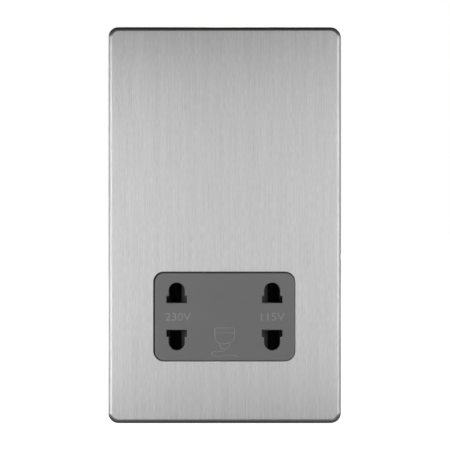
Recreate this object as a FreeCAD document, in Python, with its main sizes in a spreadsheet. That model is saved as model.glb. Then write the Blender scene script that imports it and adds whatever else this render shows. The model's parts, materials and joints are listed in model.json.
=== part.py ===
import FreeCAD, Part
import math
import os
from types import SimpleNamespace

import Sketcher

os.makedirs("parts", exist_ok=True)

# Shaver supply socket for a wall box, in millimetres. X is to the right, Z is up and the front
# faces -Y. The wall plane is y = 0 and the origin is the middle of the plate on that plane.
# Pieces of the socket module are drawn about the middle of its face and placed at module_height,
# a set rise above the plate's lower edge.

# Driving dimensions
SIZES = {
    # Cover plate, a pressed pan with a turned skirt
    "plate_width": 87.0,
    "plate_height": 148.0,
    "plate_depth": 5.0,
    "plate_corner": 4.1,
    "plate_sheet": 1.0,
    "plate_bend": 1.5,
    "skirt_gap": 0.4,
    "notch_height": -11.8,
    "notch_length": 2.6,
    "notch_depth": 0.2,
    # Opening in the plate and the socket face that fills it
    "module_rise": 39.75,
    "cutout_width": 53.1,
    "cutout_height": 33.5,
    "cutout_corner": 3.6,
    "cutout_rise": 0.2,
    "cutout_shift": -0.15,
    "insert_side_gap": 0.3,
    "insert_top_gap": 0.35,
    "insert_proud": 0.35,
    "insert_edge": 0.5,
    "flange_thickness": 1.0,
    "flange_side": 3.45,
    "flange_top": 1.6,
    "boss_depth": 1.5,
    "boss_clearance": 0.2,
    "face_wall": 2.0,
    # Pin apertures: a domed round hole joined to a wider flat slot
    "outlet_offset": 17.93,
    "dome_centre": 10.0,
    "dome_radius": 2.95,
    "slot_half": 3.75,
    "slot_near": 5.0,
    "slot_far": 7.85,
    "lead_in": 0.15,
    # Snap legs of the socket face
    "leg_inset": 0.1,
    "leg_thickness": 1.2,
    "leg_height": 9.0,
    "leg_width": 5.0,
    "barb": 0.7,
    "barb_length": 1.3,
    "leg_clearance": 0.1,
    # Mounting frame and gasket
    "frame_gap": 0.2,
    "rim_wall": 1.6,
    "rim_bevel": 0.7,
    "gasket_thickness": 1.0,
    "gasket_inset": 0.3,
    "gasket_clearance": 0.6,
    "fixing_margin": 13.7,
    "fixing_radius": 2.1,
    "fixing_recess_radius": 3.8,
    "fixing_recess_depth": 1.2,
    "bead_rise": 0.45,
    "bead_clearance": 0.1,
    "bead_depth": 2.0,
    "bead_height": 40.0,
    "bead_length": 14.0,
    # Contact carrier and its cover
    "carrier_width": 52.0,
    "carrier_height": 31.8,
    "carrier_side_wall": 1.2,
    "carrier_end_wall": 1.8,
    "carrier_depth": 14.1,
    "window_clearance": 0.4,
    "deck": 1.5,
    "cover_thickness": 1.5,
    "pocket_clearance": 0.7,
    "core_wall": 1.2,
    # Sliding interlock
    "slide_gap": 0.2,
    "slider_thickness": 4.0,
    "slider_reach": 16.28,
    "slider_ramp": 1.98,
    "slider_land": 0.8,
    "slider_side_gap": 0.3,
    "slider_travel": 2.4,
    "seat_half": 2.6,
    "peg_side": 1.5,
    "peg_length": 1.5,
    "spring_radius": 1.7,
    "spring_wire": 0.44,
    "spring_turns": 4.0,
    # Contact clips, folded from strip
    "strip": 0.5,
    "clip_half": 3.1,
    "clip_pinch": 1.1,
    "clip_mouth": 2.9,
    "clip_pinch_depth": 6.1,
    "clip_waist_depth": 11.1,
    "clip_near": 5.2,
    "clip_far": 12.8,
    "bridge_width": 1.4,
    "tag_half": 1.2,
    "tag_length": 4.0,
    "tag_common": -7.6,
    "tag_230": -11.5,
    "tag_115": 5.6,
    "tag_height": 9.4,
    # Centre-off switch worked by the slider
    "switch_half_width": 3.3,
    "switch_half_height": 10.1,
    "switch_fit": 0.1,
    "switch_floor": 2.5,
    "pivot_depth": 6.5,
    "lever_half": 0.5,
    "lever_ball": 0.7,
    "lever_hub": 1.3,
    "lever_thickness": 2.2,
    "lever_play": 0.15,
    "blade_half": 1.2,
    "blade_thickness": 0.6,
    "blade_rise": 7.0,
    # Transformer
    "core_width": 48.0,
    "core_leg": 8.0,
    "core_window": 24.0,
    "core_stack": 18.0,
    "core_front": 10.0,
    "core_base": 0.0,
    "bobbin_fit": 0.2,
    "bobbin_wall": 1.2,
    "bobbin_flange": 6.8,
    "winding_inset": 0.9,
    "winding_corner": 3.5,
    "tape": 0.3,
    "pin_side": 0.7,
    "pin_length": 4.0,
    "pin_depth": 2.5,
    "pad_thickness": 0.8,
    "pad_width": 3.0,
    "cutout_body_width": 8.0,
    "cutout_body_height": 7.8,
    "cutout_body_thickness": 2.4,
    # Rear housing
    "housing_side_margin": 10.5,
    "housing_end_margin": 19.0,
    "housing_wall": 1.8,
    "housing_corner": 4.0,
    "housing_bevel": 1.2,
    "low_depth": 25.0,
    "deep_depth": 40.0,
    "step_height": -15.0,
    "rib_offset": 20.0,
    "rib_width": 2.0,
    "boss_inset": 4.8,
    "boss_side": 6.4,
    "boss_length": 15.0,
    "boss_rise": 24.4,
    "post_offset": 23.5,
    "post_rise": 12.5,
    "post_side": 3.0,
    "tongue_offset": 14.0,
    "tongue_width": 6.0,
    "tongue_length": 1.7,
    "tongue_clearance": 0.15,
    "vent_width": 1.8,
    "vent_length": 22.0,
    "vent_pitch": 6.0,
    "vent_height": 20.0,
    # Screws that hold frame and housing together
    "screw_radius": 1.25,
    "screw_length": 11.0,
    "screw_head_radius": 2.7,
    "screw_head_height": 1.4,
    "screw_clearance": 0.35,
    "screw_recess_depth": 0.8,
    "pilot_clearance": 0.05,
    # Terminal block and its tunnel terminals
    "terminal_pitch": 10.0,
    "terminal_width": 8.0,
    "terminal_length": 9.0,
    "terminal_depth": 8.5,
    "terminal_rise": 5.0,
    "wire_radius": 1.75,
    "wire_height": 3.0,
    "terminal_screw_radius": 1.6,
    "terminal_screw_rise": 1.5,
    "terminal_screw_gap": 0.1,
    "block_base": 2.0,
    "block_barrier": 1.2,
    "block_barrier_height": 10.0,
    "block_skirt": 7.6,
    "block_stop": 1.4,
    "block_peg_side": 2.4,
    "block_peg_clearance": 0.05,
    "tail_half": 1.5,
    "tail_thickness": 0.8,
    "tail_gap": 1.6,
    # Earth strap and leads
    "strap_width": 5.0,
    "strap_thickness": 0.6,
    "strap_rise": 21.2,
    "strap_finger": 7.2,
    "strap_clearance": 0.3,
    "lead_radius": 0.75,
    "lead_bend": 3.0,
    "lead_front": 1.8,
    "lead_cross": -9.0,
    "lead_side": -5.0,
}


# Named values that carry their spreadsheet formula


class Size:
    """A length with its value and the formula that ties it to the sheet."""

    def __init__(self, value, formula):
        self.value = float(value)
        self.formula = formula

    def __add__(self, other):
        other = as_size(other)
        return Size(self.value + other.value, f"({self.formula} + {other.formula})")

    def __radd__(self, other):
        return as_size(other) + self

    def __sub__(self, other):
        other = as_size(other)
        return Size(self.value - other.value, f"({self.formula} - {other.formula})")

    def __rsub__(self, other):
        return as_size(other) - self

    def __mul__(self, other):
        other = as_size(other)
        return Size(self.value * other.value, f"({self.formula} * {other.formula})")

    def __rmul__(self, other):
        return as_size(other) * self

    def __truediv__(self, other):
        other = as_size(other)
        return Size(self.value / other.value, f"({self.formula} / {other.formula})")

    def __neg__(self):
        return Size(-self.value, f"(-{self.formula})")


def as_size(value):
    return value if isinstance(value, Size) else Size(value, f"({float(value)})")


doc = FreeCAD.newDocument("shaver_socket")
sheet = doc.addObject("Spreadsheet::Sheet", "Sizes")
for row, (name, value) in enumerate(SIZES.items(), start=1):
    sheet.set(f"A{row}", name)
    sheet.set(f"B{row}", str(value))
    sheet.setAlias(f"B{row}", name)
doc.recompute()

d = SimpleNamespace(**{name: Size(value, f"Sizes.{name}") for name, value in SIZES.items()})
nodes = []

# Levels from front to rear
front_y = -d.plate_depth
sheet_y = front_y + d.plate_sheet
web_front_y = sheet_y + d.flange_thickness
web_rear_y = -d.gasket_thickness
insert_rear_y = web_front_y + d.boss_depth
slider_front_y = insert_rear_y + d.slide_gap
slider_rear_y = slider_front_y + d.slider_thickness
slider_mid_y = slider_front_y + d.slider_thickness / 2
deck_y = slider_rear_y + d.slide_gap
pocket_y = deck_y + d.deck
carrier_rear_y = deck_y + d.carrier_depth
cover_rear_y = carrier_rear_y + d.cover_thickness
switch_y = deck_y + d.switch_floor
pivot_y = deck_y + d.pivot_depth
ball_y = slider_rear_y - d.lever_half + d.lever_play / 2
core_rear_y = d.core_front + d.core_stack
low_inner_y = d.low_depth - d.housing_wall
deep_inner_y = d.deep_depth - d.housing_wall
tail_y = low_inner_y - d.tail_gap
block_y = d.low_depth + d.block_base
wire_y = block_y + d.wire_height

# Shared outlines and heights
module_height = d.module_rise - d.plate_height / 2
fixing_height = d.plate_height / 2 - d.fixing_margin
terminal_top = module_height + d.terminal_rise
strap_height = module_height + d.strap_rise
insert_half_x = d.cutout_width / 2 - d.insert_side_gap
insert_half_z = d.cutout_height / 2 - d.insert_top_gap
leg_reach = insert_half_x + d.flange_side - d.leg_inset - d.leg_thickness
carrier_half_x = d.carrier_width / 2
carrier_half_z = d.carrier_height / 2
bay_half_x = carrier_half_x - d.carrier_side_wall
bay_half_z = carrier_half_z - d.carrier_end_wall
frame_half_x = d.plate_width / 2 - d.plate_sheet - d.frame_gap
frame_half_z = d.plate_height / 2 - d.plate_sheet - d.frame_gap
frame_corner = d.plate_corner - d.plate_sheet - d.frame_gap
core_half_x = d.core_width / 2
core_top = d.core_base + d.core_window + d.core_leg * 2
centre_leg_half = core_half_x - d.core_leg * 2
housing_half_x = d.plate_width / 2 - d.housing_side_margin
housing_half_z = d.plate_height / 2 - d.housing_end_margin
terminal_mid = terminal_top - d.terminal_length / 2
TERMINALS = {"live": -1, "neutral": 0, "earth": 1}
RIGHT_AND_LEFT = (1, -1)
FLATS = 5
BENDS_PER_TURN = 9
BEND_STEPS = 3
boss_offset = housing_half_x - d.boss_inset
boss_height = module_height + d.boss_rise
SCREW_SPOTS = [(side * boss_offset, boss_height) for side in RIGHT_AND_LEFT]


# Document helpers

NORMAL_SIGN = {"XY_Plane": 1, "XZ_Plane": -1, "YZ_Plane": 1}


def bind(item, name, size):
    item.setExpression(name, as_size(size).formula)


def new_body(label, height=None):
    """A body whose drawing origin sits at the given height above the part's origin."""
    body = doc.addObject("PartDesign::Body", label)
    body.Label = label
    if height is not None:
        bind(body, "Placement.Base.z", height)
    nodes.append(body)
    return body


def new_feature(label, shape):
    """A sub-part whose shape is set whole, for sets of solids and for sweeps in space."""
    item = doc.addObject("Part::Feature", label)
    item.Label = label
    item.Shape = shape
    item.Placement = shape.Placement
    nodes.append(item)
    return item


def plane_of(body, role):
    return next(item for item in body.Origin.OriginFeatures if item.Role == role)


def new_sketch(body, name, role, level, outlines):
    drawing = body.newObject("Sketcher::SketchObject", name + "_sketch")
    drawing.AttachmentSupport = (plane_of(body, role), [""])
    drawing.MapMode = "FlatFace"
    bind(drawing, "AttachmentOffset.Base.z", level * NORMAL_SIGN[role])
    for draw in outlines:
        draw(drawing)
    return drawing


def add(body, name, role, outlines, low, high):
    """Pad the outlines between two levels on the axis that the plane faces."""
    low = as_size(low)
    high = as_size(high)
    start = high if NORMAL_SIGN[role] < 0 else low
    pad = body.newObject("PartDesign::Pad", name)
    pad.Profile = new_sketch(body, name, role, start, outlines)
    bind(pad, "Length", high - low)
    body.Tip = pad
    doc.recompute()
    return pad


def cut(body, name, role, outlines, low, high):
    """Pocket the outlines between two levels, and make sure that material went away."""
    low = as_size(low)
    high = as_size(high)
    before = body.Tip.Shape.Volume
    start = low if NORMAL_SIGN[role] < 0 else high
    pocket = body.newObject("PartDesign::Pocket", name)
    pocket.Profile = new_sketch(body, name, role, start, outlines)
    bind(pocket, "Length", high - low)
    body.Tip = pocket
    doc.recompute()
    if not pocket.Shape.Volume < before:
        raise ValueError(f"{body.Label}: {name} cuts nothing")
    return pocket


def round_edges(body, name, radius, wanted, kind="PartDesign::Fillet"):
    """Fillet or chamfer the edges of the last feature that pass the test."""
    base = body.Tip
    names = [f"Edge{i}" for i, edge in enumerate(base.Shape.Edges, start=1) if wanted(edge)]
    if not names:
        raise ValueError(f"{body.Label}: no edge for {name}")
    item = body.newObject(kind, name)
    item.Base = (base, names)
    bind(item, "Radius" if kind.endswith("Fillet") else "Size", radius)
    body.Tip = item
    doc.recompute()
    return item


def at_level(axis, level):
    """A test for edges that lie in one plane across an axis, in the body's own frame."""
    level = as_size(level).value

    def test(edge):
        box = edge.BoundBox
        low = (box.XMin, box.YMin, box.ZMin)[axis]
        high = (box.XMax, box.YMax, box.ZMax)[axis]
        return abs(low - level) < 1e-3 and abs(high - level) < 1e-3

    return test


# Outlines for sketches, each a function that draws itself


def fix_point(drawing, geometry, corner, x, y):
    index = drawing.addConstraint(
        Sketcher.Constraint("DistanceX", -1, 1, geometry, corner, x.value)
    )
    bind(drawing, f"Constraints[{index}]", x)
    index = drawing.addConstraint(
        Sketcher.Constraint("DistanceY", -1, 1, geometry, corner, y.value)
    )
    bind(drawing, f"Constraints[{index}]", y)


def disc(x, y, radius):
    x, y, radius = as_size(x), as_size(y), as_size(radius)

    def draw(drawing):
        centre = FreeCAD.Vector(x.value, y.value, 0)
        circle = drawing.addGeometry(Part.Circle(centre, FreeCAD.Vector(0, 0, 1), radius.value), False)
        fix_point(drawing, circle, 3, x, y)
        index = drawing.addConstraint(Sketcher.Constraint("Radius", circle, radius.value))
        bind(drawing, f"Constraints[{index}]", radius)

    return draw


def outline(points, arcs=None):
    """A closed outline. arcs maps an edge's number to its centre, which it goes round leftwards."""
    points = [(as_size(x), as_size(y)) for x, y in points]
    arcs = {k: (as_size(x), as_size(y)) for k, (x, y) in (arcs or {}).items()}

    def draw(drawing):
        spots = [FreeCAD.Vector(x.value, y.value, 0) for x, y in points]
        edges = []
        for i, start in enumerate(spots):
            end = spots[(i + 1) % len(spots)]
            if i in arcs:
                centre = FreeCAD.Vector(arcs[i][0].value, arcs[i][1].value, 0)
                circle = Part.Circle(centre, FreeCAD.Vector(0, 0, 1), (start - centre).Length)
                first = math.atan2(start.y - centre.y, start.x - centre.x)
                last = math.atan2(end.y - centre.y, end.x - centre.x)
                if last <= first:
                    last += 2 * math.pi
                edge = Part.ArcOfCircle(circle, first, last)
            else:
                edge = Part.LineSegment(start, end)
            edges.append(drawing.addGeometry(edge, False))
        for i, edge in enumerate(edges):
            following = edges[(i + 1) % len(edges)]
            drawing.addConstraint(Sketcher.Constraint("Coincident", edge, 2, following, 1))
        for edge, (x, y) in zip(edges, points):
            fix_point(drawing, edge, 1, x, y)
        for i, (x, y) in arcs.items():
            chord = spots[(i + 1) % len(spots)] - spots[i]
            kind, size = ("DistanceY", y) if abs(chord.x) > abs(chord.y) else ("DistanceX", x)
            index = drawing.addConstraint(
                Sketcher.Constraint(kind, -1, 1, edges[i], 3, size.value)
            )
            bind(drawing, f"Constraints[{index}]", size)

    return draw


def rectangle(x0, x1, y0, y1):
    return outline([(x0, y0), (x1, y0), (x1, y1), (x0, y1)])


def rounded(x0, x1, y0, y1, radius):
    """A rectangle with equal round corners."""
    left, right, low, high = x0 + radius, x1 - radius, y0 + radius, y1 - radius
    points = [(left, y0), (right, y0), (x1, low), (x1, high)]
    points += [(right, y1), (left, y1), (x0, high), (x0, low)]
    arcs = {1: (right, low), 3: (right, high), 5: (left, high), 7: (left, low)}
    return outline(points, arcs)


def centred(half_x, half_y, radius, x=0.0, y=0.0):
    x, y = as_size(x), as_size(y)
    return rounded(x - half_x, x + half_x, y - half_y, y + half_y, as_size(radius))


def across(side, x0, x1):
    """The two limits of a span on the right, or of its mirror on the left, in rising order."""
    return (x0, x1) if side > 0 else (-x1, -x0)


def keyhole(side, rise, grow=0.0):
    """A pin aperture, the dome away from the middle of the module."""
    x = side * d.outlet_offset
    half = d.slot_half + grow
    radius = d.dome_radius + grow
    near, far, dome = d.slot_near - grow, d.slot_far + grow, d.dome_centre
    points = [(x - half, near), (x + half, near), (x + half, far), (x + radius, far)]
    points += [(x + radius, dome), (x - radius, dome), (x - radius, far), (x - half, far)]
    if rise > 0:
        return outline(points, {4: (x, dome)})
    points = [(px, -py) for px, py in points]
    points = points[::-1]
    return outline(points, {2: (x, -dome)})


def all_keyholes(grow=0.0):
    return [keyhole(side, rise, grow) for side in (1, -1) for rise in (1, -1)]


# Front pieces


def cover_plate():
    body = new_body("cover_plate")
    half_x, half_z = d.plate_width / 2, d.plate_height / 2
    add(body, "blank", "XZ_Plane", [centred(half_x, half_z, d.plate_corner)], front_y, -d.skirt_gap)
    round_edges(body, "bend", d.plate_bend, at_level(1, front_y))
    sheet = d.plate_sheet
    hollow = centred(half_x - sheet, half_z - sheet, d.plate_corner - sheet)
    cut(body, "pan", "XZ_Plane", [hollow], sheet_y, -d.skirt_gap)
    middle = module_height + d.cutout_rise
    opening = centred(d.cutout_width / 2, d.cutout_height / 2, d.cutout_corner, d.cutout_shift, middle)
    cut(body, "opening", "XZ_Plane", [opening], front_y, sheet_y)
    scoop = (d.notch_length * d.notch_length / 4 + d.notch_depth * d.notch_depth) / (2 * d.notch_depth)
    notch = disc(half_x - d.notch_depth + scoop, d.notch_height, scoop)
    cut(body, "pry_notch", "XZ_Plane", [notch], front_y, -d.skirt_gap)
    grooves = [bead_outline(side, d.bead_clearance) for side in RIGHT_AND_LEFT]
    reach = d.bead_length / 2 + d.bead_clearance
    for name, middle in (("upper_grooves", d.bead_height), ("lower_grooves", -d.bead_height)):
        cut(body, name, "XY_Plane", grooves, middle - reach, middle + reach)


def mounting_frame():
    body = new_body("mounting_frame")
    rim_y = sheet_y + d.frame_gap
    add(body, "tray", "XZ_Plane", [centred(frame_half_x, frame_half_z, frame_corner)], rim_y, web_rear_y)
    round_edges(body, "rim_bevel", d.rim_bevel, at_level(1, rim_y), "PartDesign::Chamfer")
    inner = centred(frame_half_x - d.rim_wall, frame_half_z - d.rim_wall, frame_corner - d.rim_wall / 2)
    cut(body, "inside_rim", "XZ_Plane", [inner], rim_y, web_front_y)
    window = centred(
        carrier_half_x + d.window_clearance,
        carrier_half_z + d.window_clearance,
        1.4,
        y=module_height,
    )
    leg_in = leg_reach - d.barb - d.leg_clearance
    leg_out = leg_reach + d.leg_thickness + d.barb + d.leg_clearance
    leg_half = d.leg_width / 2 + d.leg_clearance * 2
    slots = []
    for side in RIGHT_AND_LEFT:
        x0, x1 = across(side, leg_in, leg_out)
        for height in (module_height + d.leg_height, module_height - d.leg_height):
            slots.append(rectangle(x0, x1, height - leg_half, height + leg_half))
    strap_x = d.terminal_pitch
    strap_half = d.strap_width / 2 + d.strap_clearance
    strap_slot = rectangle(
        strap_x - strap_half,
        strap_x + strap_half,
        strap_height - d.strap_thickness - d.strap_clearance,
        strap_height + d.strap_clearance,
    )
    holes = [disc(0, side * fixing_height, d.fixing_radius) for side in (1, -1)]
    holes += [disc(x, z, d.screw_radius + d.screw_clearance) for x, z in SCREW_SPOTS]
    slots += tongue_outlines(d.tongue_clearance)
    cut(body, "openings", "XZ_Plane", [window, strap_slot] + slots + holes, web_front_y, web_rear_y)
    recesses = [disc(0, side * fixing_height, d.fixing_recess_radius) for side in (1, -1)]
    cut(body, "fixing_recess", "XZ_Plane", recesses, web_front_y, web_front_y + d.fixing_recess_depth)
    recesses = [disc(x, z, d.screw_head_radius + d.screw_clearance) for x, z in SCREW_SPOTS]
    cut(body, "screw_recess", "XZ_Plane", recesses, web_front_y, web_front_y + d.screw_recess_depth)
    ribs = [rib_outline(side) for side in RIGHT_AND_LEFT]
    add(body, "core_ribs", "XZ_Plane", ribs, web_rear_y, d.core_front - d.pad_thickness)
    beads = [bead_outline(side) for side in RIGHT_AND_LEFT]
    for name, middle in (("upper_beads", d.bead_height), ("lower_beads", -d.bead_height)):
        add(body, name, "XY_Plane", beads, middle - d.bead_length / 2, middle + d.bead_length / 2)


def bead_outline(side, grow=0.0):
    """A ridge on the frame's edge that snaps into a groove in the plate's skirt, seen from above."""
    reach = frame_half_x + d.bead_rise + grow
    root = frame_half_x - d.frame_gap
    half = d.bead_rise * 2 + grow
    points = [(root, -d.bead_depth - half), (reach, -d.bead_depth), (root, -d.bead_depth + half)]
    return outline([(side * x, y) for x, y in points])


def tongue_outlines(grow=0.0):
    """The housing's tongues that locate it in the frame, two in its top wall and two in its bottom."""
    half = d.tongue_width / 2 + grow
    outer, inner = housing_half_z + grow, housing_half_z - d.housing_wall - grow
    tongues = []
    for side in RIGHT_AND_LEFT:
        x = side * d.tongue_offset
        tongues.append(rectangle(x - half, x + half, inner, outer))
        tongues.append(rectangle(x - half, x + half, -outer, -inner))
    return tongues


def rib_outline(side):
    """A rib that bears on a side leg of the core, seen from the front."""
    x0, x1 = across(side, d.rib_offset - d.rib_width / 2, d.rib_offset + d.rib_width / 2)
    return rectangle(x0, x1, d.core_base + d.rib_width, core_top - d.rib_width)


def wall_gasket():
    body = new_body("wall_gasket")
    inset = d.gasket_inset
    ring = centred(frame_half_x - inset, frame_half_z - inset, frame_corner - inset)
    clear = d.gasket_clearance
    reach_x, reach_z = housing_half_x + clear, housing_half_z + clear
    window = rectangle(-reach_x, reach_x, -reach_z, reach_z)
    add(body, "ring", "XZ_Plane", [ring, window], web_rear_y, 0.0)
    holes = [disc(0, side * fixing_height, d.fixing_radius + clear / 2) for side in (1, -1)]
    cut(body, "fixing_holes", "XZ_Plane", holes, web_rear_y, 0.0)


def socket_insert():
    body = new_body("socket_insert", module_height)
    corner = d.cutout_corner - d.insert_side_gap
    face = centred(insert_half_x, insert_half_z, corner)
    add(body, "face", "XZ_Plane", [face], front_y - d.insert_proud, web_front_y)
    front_edge = at_level(1, front_y - d.insert_proud)
    round_edges(body, "face_edge", d.insert_edge, front_edge, "PartDesign::Chamfer")
    flange = centred(insert_half_x + d.flange_side, insert_half_z + d.flange_top, corner)
    add(body, "flange", "XZ_Plane", [flange], sheet_y, web_front_y)
    gap = d.boss_clearance
    boss = centred(bay_half_x - gap, bay_half_z - gap, 1.0)
    add(body, "boss", "XZ_Plane", [boss], web_front_y, insert_rear_y)
    cut(body, "pin_apertures", "XZ_Plane", all_keyholes(), front_y - d.insert_proud, insert_rear_y)
    inside = insert_half_z.value - 2 * d.insert_edge.value
    round_edges(
        body,
        "lead_in",
        d.lead_in,
        lambda edge: front_edge(edge) and abs(edge.CenterOfMass.z) < inside and edge.Length < 2 * inside,
        "PartDesign::Chamfer",
    )
    hollow_x = d.outlet_offset - d.slot_half - d.core_wall
    hollow = rectangle(-hollow_x, hollow_x, -d.dome_centre, d.dome_centre)
    cut(body, "hollow_back", "XZ_Plane", [hollow], front_y - d.insert_proud + d.face_wall, insert_rear_y)
    barb_y = web_rear_y + d.leg_clearance
    legs = []
    for side in RIGHT_AND_LEFT:
        inner, outer, tip = leg_reach, leg_reach + d.leg_thickness, leg_reach + d.leg_thickness + d.barb
        points = [(inner, web_front_y), (outer, web_front_y), (outer, barb_y), (tip, barb_y)]
        points += [(outer, barb_y + d.barb_length), (inner, barb_y + d.barb_length)]
        legs.append(outline([(side * x, y) for x, y in points]))
    for name, middle in (("upper_legs", d.leg_height), ("lower_legs", -d.leg_height)):
        add(body, name, "XY_Plane", legs, middle - d.leg_width / 2, middle + d.leg_width / 2)


# Pieces behind the socket face


def contact_carrier():
    body = new_body("contact_carrier", module_height)
    block = centred(carrier_half_x, carrier_half_z, 1.0)
    front = web_front_y + d.leg_clearance
    add(body, "block", "XZ_Plane", [block], front, carrier_rear_y)
    bay = rectangle(-bay_half_x, bay_half_x, -bay_half_z, bay_half_z)
    cut(body, "slider_bay", "XZ_Plane", [bay], front, deck_y)
    pocket_half = d.clip_half + d.pocket_clearance
    passage_half = d.slot_half + d.slide_gap
    near, far = d.clip_near - d.strip, d.clip_far + d.strip
    passages = []
    pockets = []
    for side in RIGHT_AND_LEFT:
        x = side * d.outlet_offset
        for low, high in ((near, far), (-far, -near)):
            passages.append(rectangle(x - passage_half, x + passage_half, low, high))
            pockets.append(rectangle(x - pocket_half, x + pocket_half, low, high))
    cut(body, "pin_passages", "XZ_Plane", passages, deck_y, pocket_y)
    hollow_low = d.switch_half_width + d.switch_fit + d.core_wall
    hollow_high = d.outlet_offset - pocket_half - d.core_wall
    hollow_z = d.clip_far - d.bridge_width - d.core_wall
    for side in RIGHT_AND_LEFT:
        x0, x1 = across(side, hollow_low, hollow_high)
        pockets.append(rectangle(x0, x1, -hollow_z, hollow_z))
    cut(body, "contact_pockets", "XZ_Plane", pockets, pocket_y, carrier_rear_y)
    fit = d.switch_fit
    seat = centred(d.switch_half_width + fit, d.switch_half_height + fit, 0.5)
    cut(body, "switch_pocket", "XZ_Plane", [seat], switch_y, carrier_rear_y)
    swing = d.slider_travel + d.lever_ball + d.lever_play
    lever_gap = d.lever_thickness / 2 + 2 * d.slide_gap
    cut(body, "lever_slot", "XZ_Plane", [rectangle(-swing, swing, -lever_gap, lever_gap)], deck_y, switch_y)
    channels = strip_outlines(d.slide_gap)
    cut(body, "strip_channels", "XZ_Plane", channels, carrier_rear_y - d.strip, carrier_rear_y)
    for name, side in (("right_peg", 1), ("left_peg", -1)):
        x0, x1 = across(side, bay_half_x - d.peg_length, bay_half_x)
        add(body, name, "YZ_Plane", [peg_outline()], x0, x1)


def peg_outline():
    """A square peg that holds the end of a centring spring, seen along its length."""
    half = d.peg_side / 2
    return rectangle(slider_mid_y - half, slider_mid_y + half, -half, half)


def strip_outlines(grow=0.0):
    """The flat strips that lie in the rear of the carrier: one bridge and two risers to the tags."""
    bridge = rectangle(
        -d.outlet_offset - d.clip_half - grow,
        d.outlet_offset + d.clip_half + grow,
        d.clip_far - d.bridge_width - grow,
        d.clip_far + grow,
    )
    return [bridge] + [riser_outline(name, grow) for name in ("230", "115")]


def riser_outline(name, grow=0.0):
    """The strip from a lower clip sideways and then up to its tag."""
    side, tag = {"230": (-1, d.tag_230), "115": (1, d.tag_115)}[name]
    inner = side * d.outlet_offset - side * (d.clip_half + grow)
    near = tag - side * (d.tag_half + grow)
    far = tag + side * (d.tag_half + grow)
    low, high = -d.clip_far - grow, -d.clip_far + d.bridge_width + grow
    top = d.tag_height + grow
    points = [(inner, low), (inner, high), (far, high), (far, top), (near, top), (near, low)]
    return outline(points if side > 0 else points[::-1])


def contact_cover():
    body = new_body("contact_cover", module_height)
    sheet_outline = centred(carrier_half_x, carrier_half_z, 1.0)
    add(body, "sheet", "XZ_Plane", [sheet_outline], carrier_rear_y, cover_rear_y)
    gap = d.slide_gap
    slots = []
    for x, z in tag_spots().values():
        slots.append(rectangle(x - d.tag_half - gap, x + d.tag_half + gap, z - d.strip - gap, z + gap))
    for side in (1, -1):
        z = side * d.blade_rise
        half = d.blade_thickness / 2 + gap
        slots.append(rectangle(-d.blade_half - gap, d.blade_half + gap, z - half, z + half))
    cut(body, "tag_slots", "XZ_Plane", slots, carrier_rear_y, cover_rear_y)


def tag_spots():
    """The upper edge of each solder tag, in the module's frame."""
    return {
        "common": (d.tag_common, d.clip_far),
        "230": (d.tag_230, d.tag_height),
        "115": (d.tag_115, d.tag_height),
    }


def interlock_slider():
    body = new_body("interlock_slider", module_height)
    rear, front = d.slider_reach, d.slider_reach - d.slider_ramp
    land_y = slider_rear_y - d.slider_land
    points = [(-front, slider_front_y), (front, slider_front_y), (rear, land_y), (rear, slider_rear_y)]
    points += [(-rear, slider_rear_y), (-rear, land_y)]
    half_z = bay_half_z - d.slider_side_gap
    add(body, "plate", "XY_Plane", [outline(points)], -half_z, half_z)
    seat = rectangle(-rear, rear, -d.seat_half, d.seat_half)
    add(body, "spring_seats", "XZ_Plane", [seat], slider_front_y, slider_rear_y)
    slot_x = d.lever_ball + d.lever_play
    slot_z = d.lever_thickness / 2 + 2 * d.slide_gap
    slot_y = ball_y - d.lever_ball - d.slide_gap
    cut(body, "lever_slot", "XZ_Plane", [rectangle(-slot_x, slot_x, -slot_z, slot_z)], slot_y, slider_rear_y)
    hollow_z = half_z - 2 * d.core_wall
    hollows = []
    for side in RIGHT_AND_LEFT:
        x0, x1 = across(side, slot_x + d.core_wall, front - 2 * d.core_wall)
        hollows.append(rectangle(x0, x1, -hollow_z, hollow_z))
    cut(body, "hollows", "XZ_Plane", hollows, slider_front_y + d.core_wall, slider_rear_y)
    for name, side in (("right_peg", 1), ("left_peg", -1)):
        x0, x1 = across(side, d.slider_reach, d.slider_reach + d.peg_length)
        add(body, name, "YZ_Plane", [peg_outline()], x0, x1)


def centring_spring(name, side):
    """A short coil between the slider and the carrier wall, its wire drawn with flats."""
    wire = d.spring_wire.value / 2
    radius = d.spring_radius.value - wire
    start, end = d.slider_reach.value + wire, bay_half_x.value - wire
    steps = int(round(d.spring_turns.value * BENDS_PER_TURN))
    spots = []
    for i in range(steps + 1):
        angle = 2 * math.pi * i / BENDS_PER_TURN
        spots.append(
            FreeCAD.Vector(
                side * (start + (end - start) * i / steps),
                slider_mid_y.value + radius * math.cos(angle),
                module_height.value + radius * math.sin(angle),
            )
        )
    path = Part.Wire(Part.makePolygon(spots))
    new_feature(name, swept(path, spots[0], spots[1] - spots[0], wire))


def swept(path, start, along, radius):
    """A flat-sided wire or lead of the given radius along a path."""
    turn = FreeCAD.Rotation(FreeCAD.Vector(0, 0, 1), along)
    corners = []
    for i in range(FLATS + 1):
        angle = 2 * math.pi * i / FLATS
        spot = FreeCAD.Vector(radius * math.cos(angle), radius * math.sin(angle), 0)
        corners.append(start + turn.multVec(spot))
    section = Part.Wire(Part.makePolygon(corners))
    return path.makePipeShell([section], True, False, 1)


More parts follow.
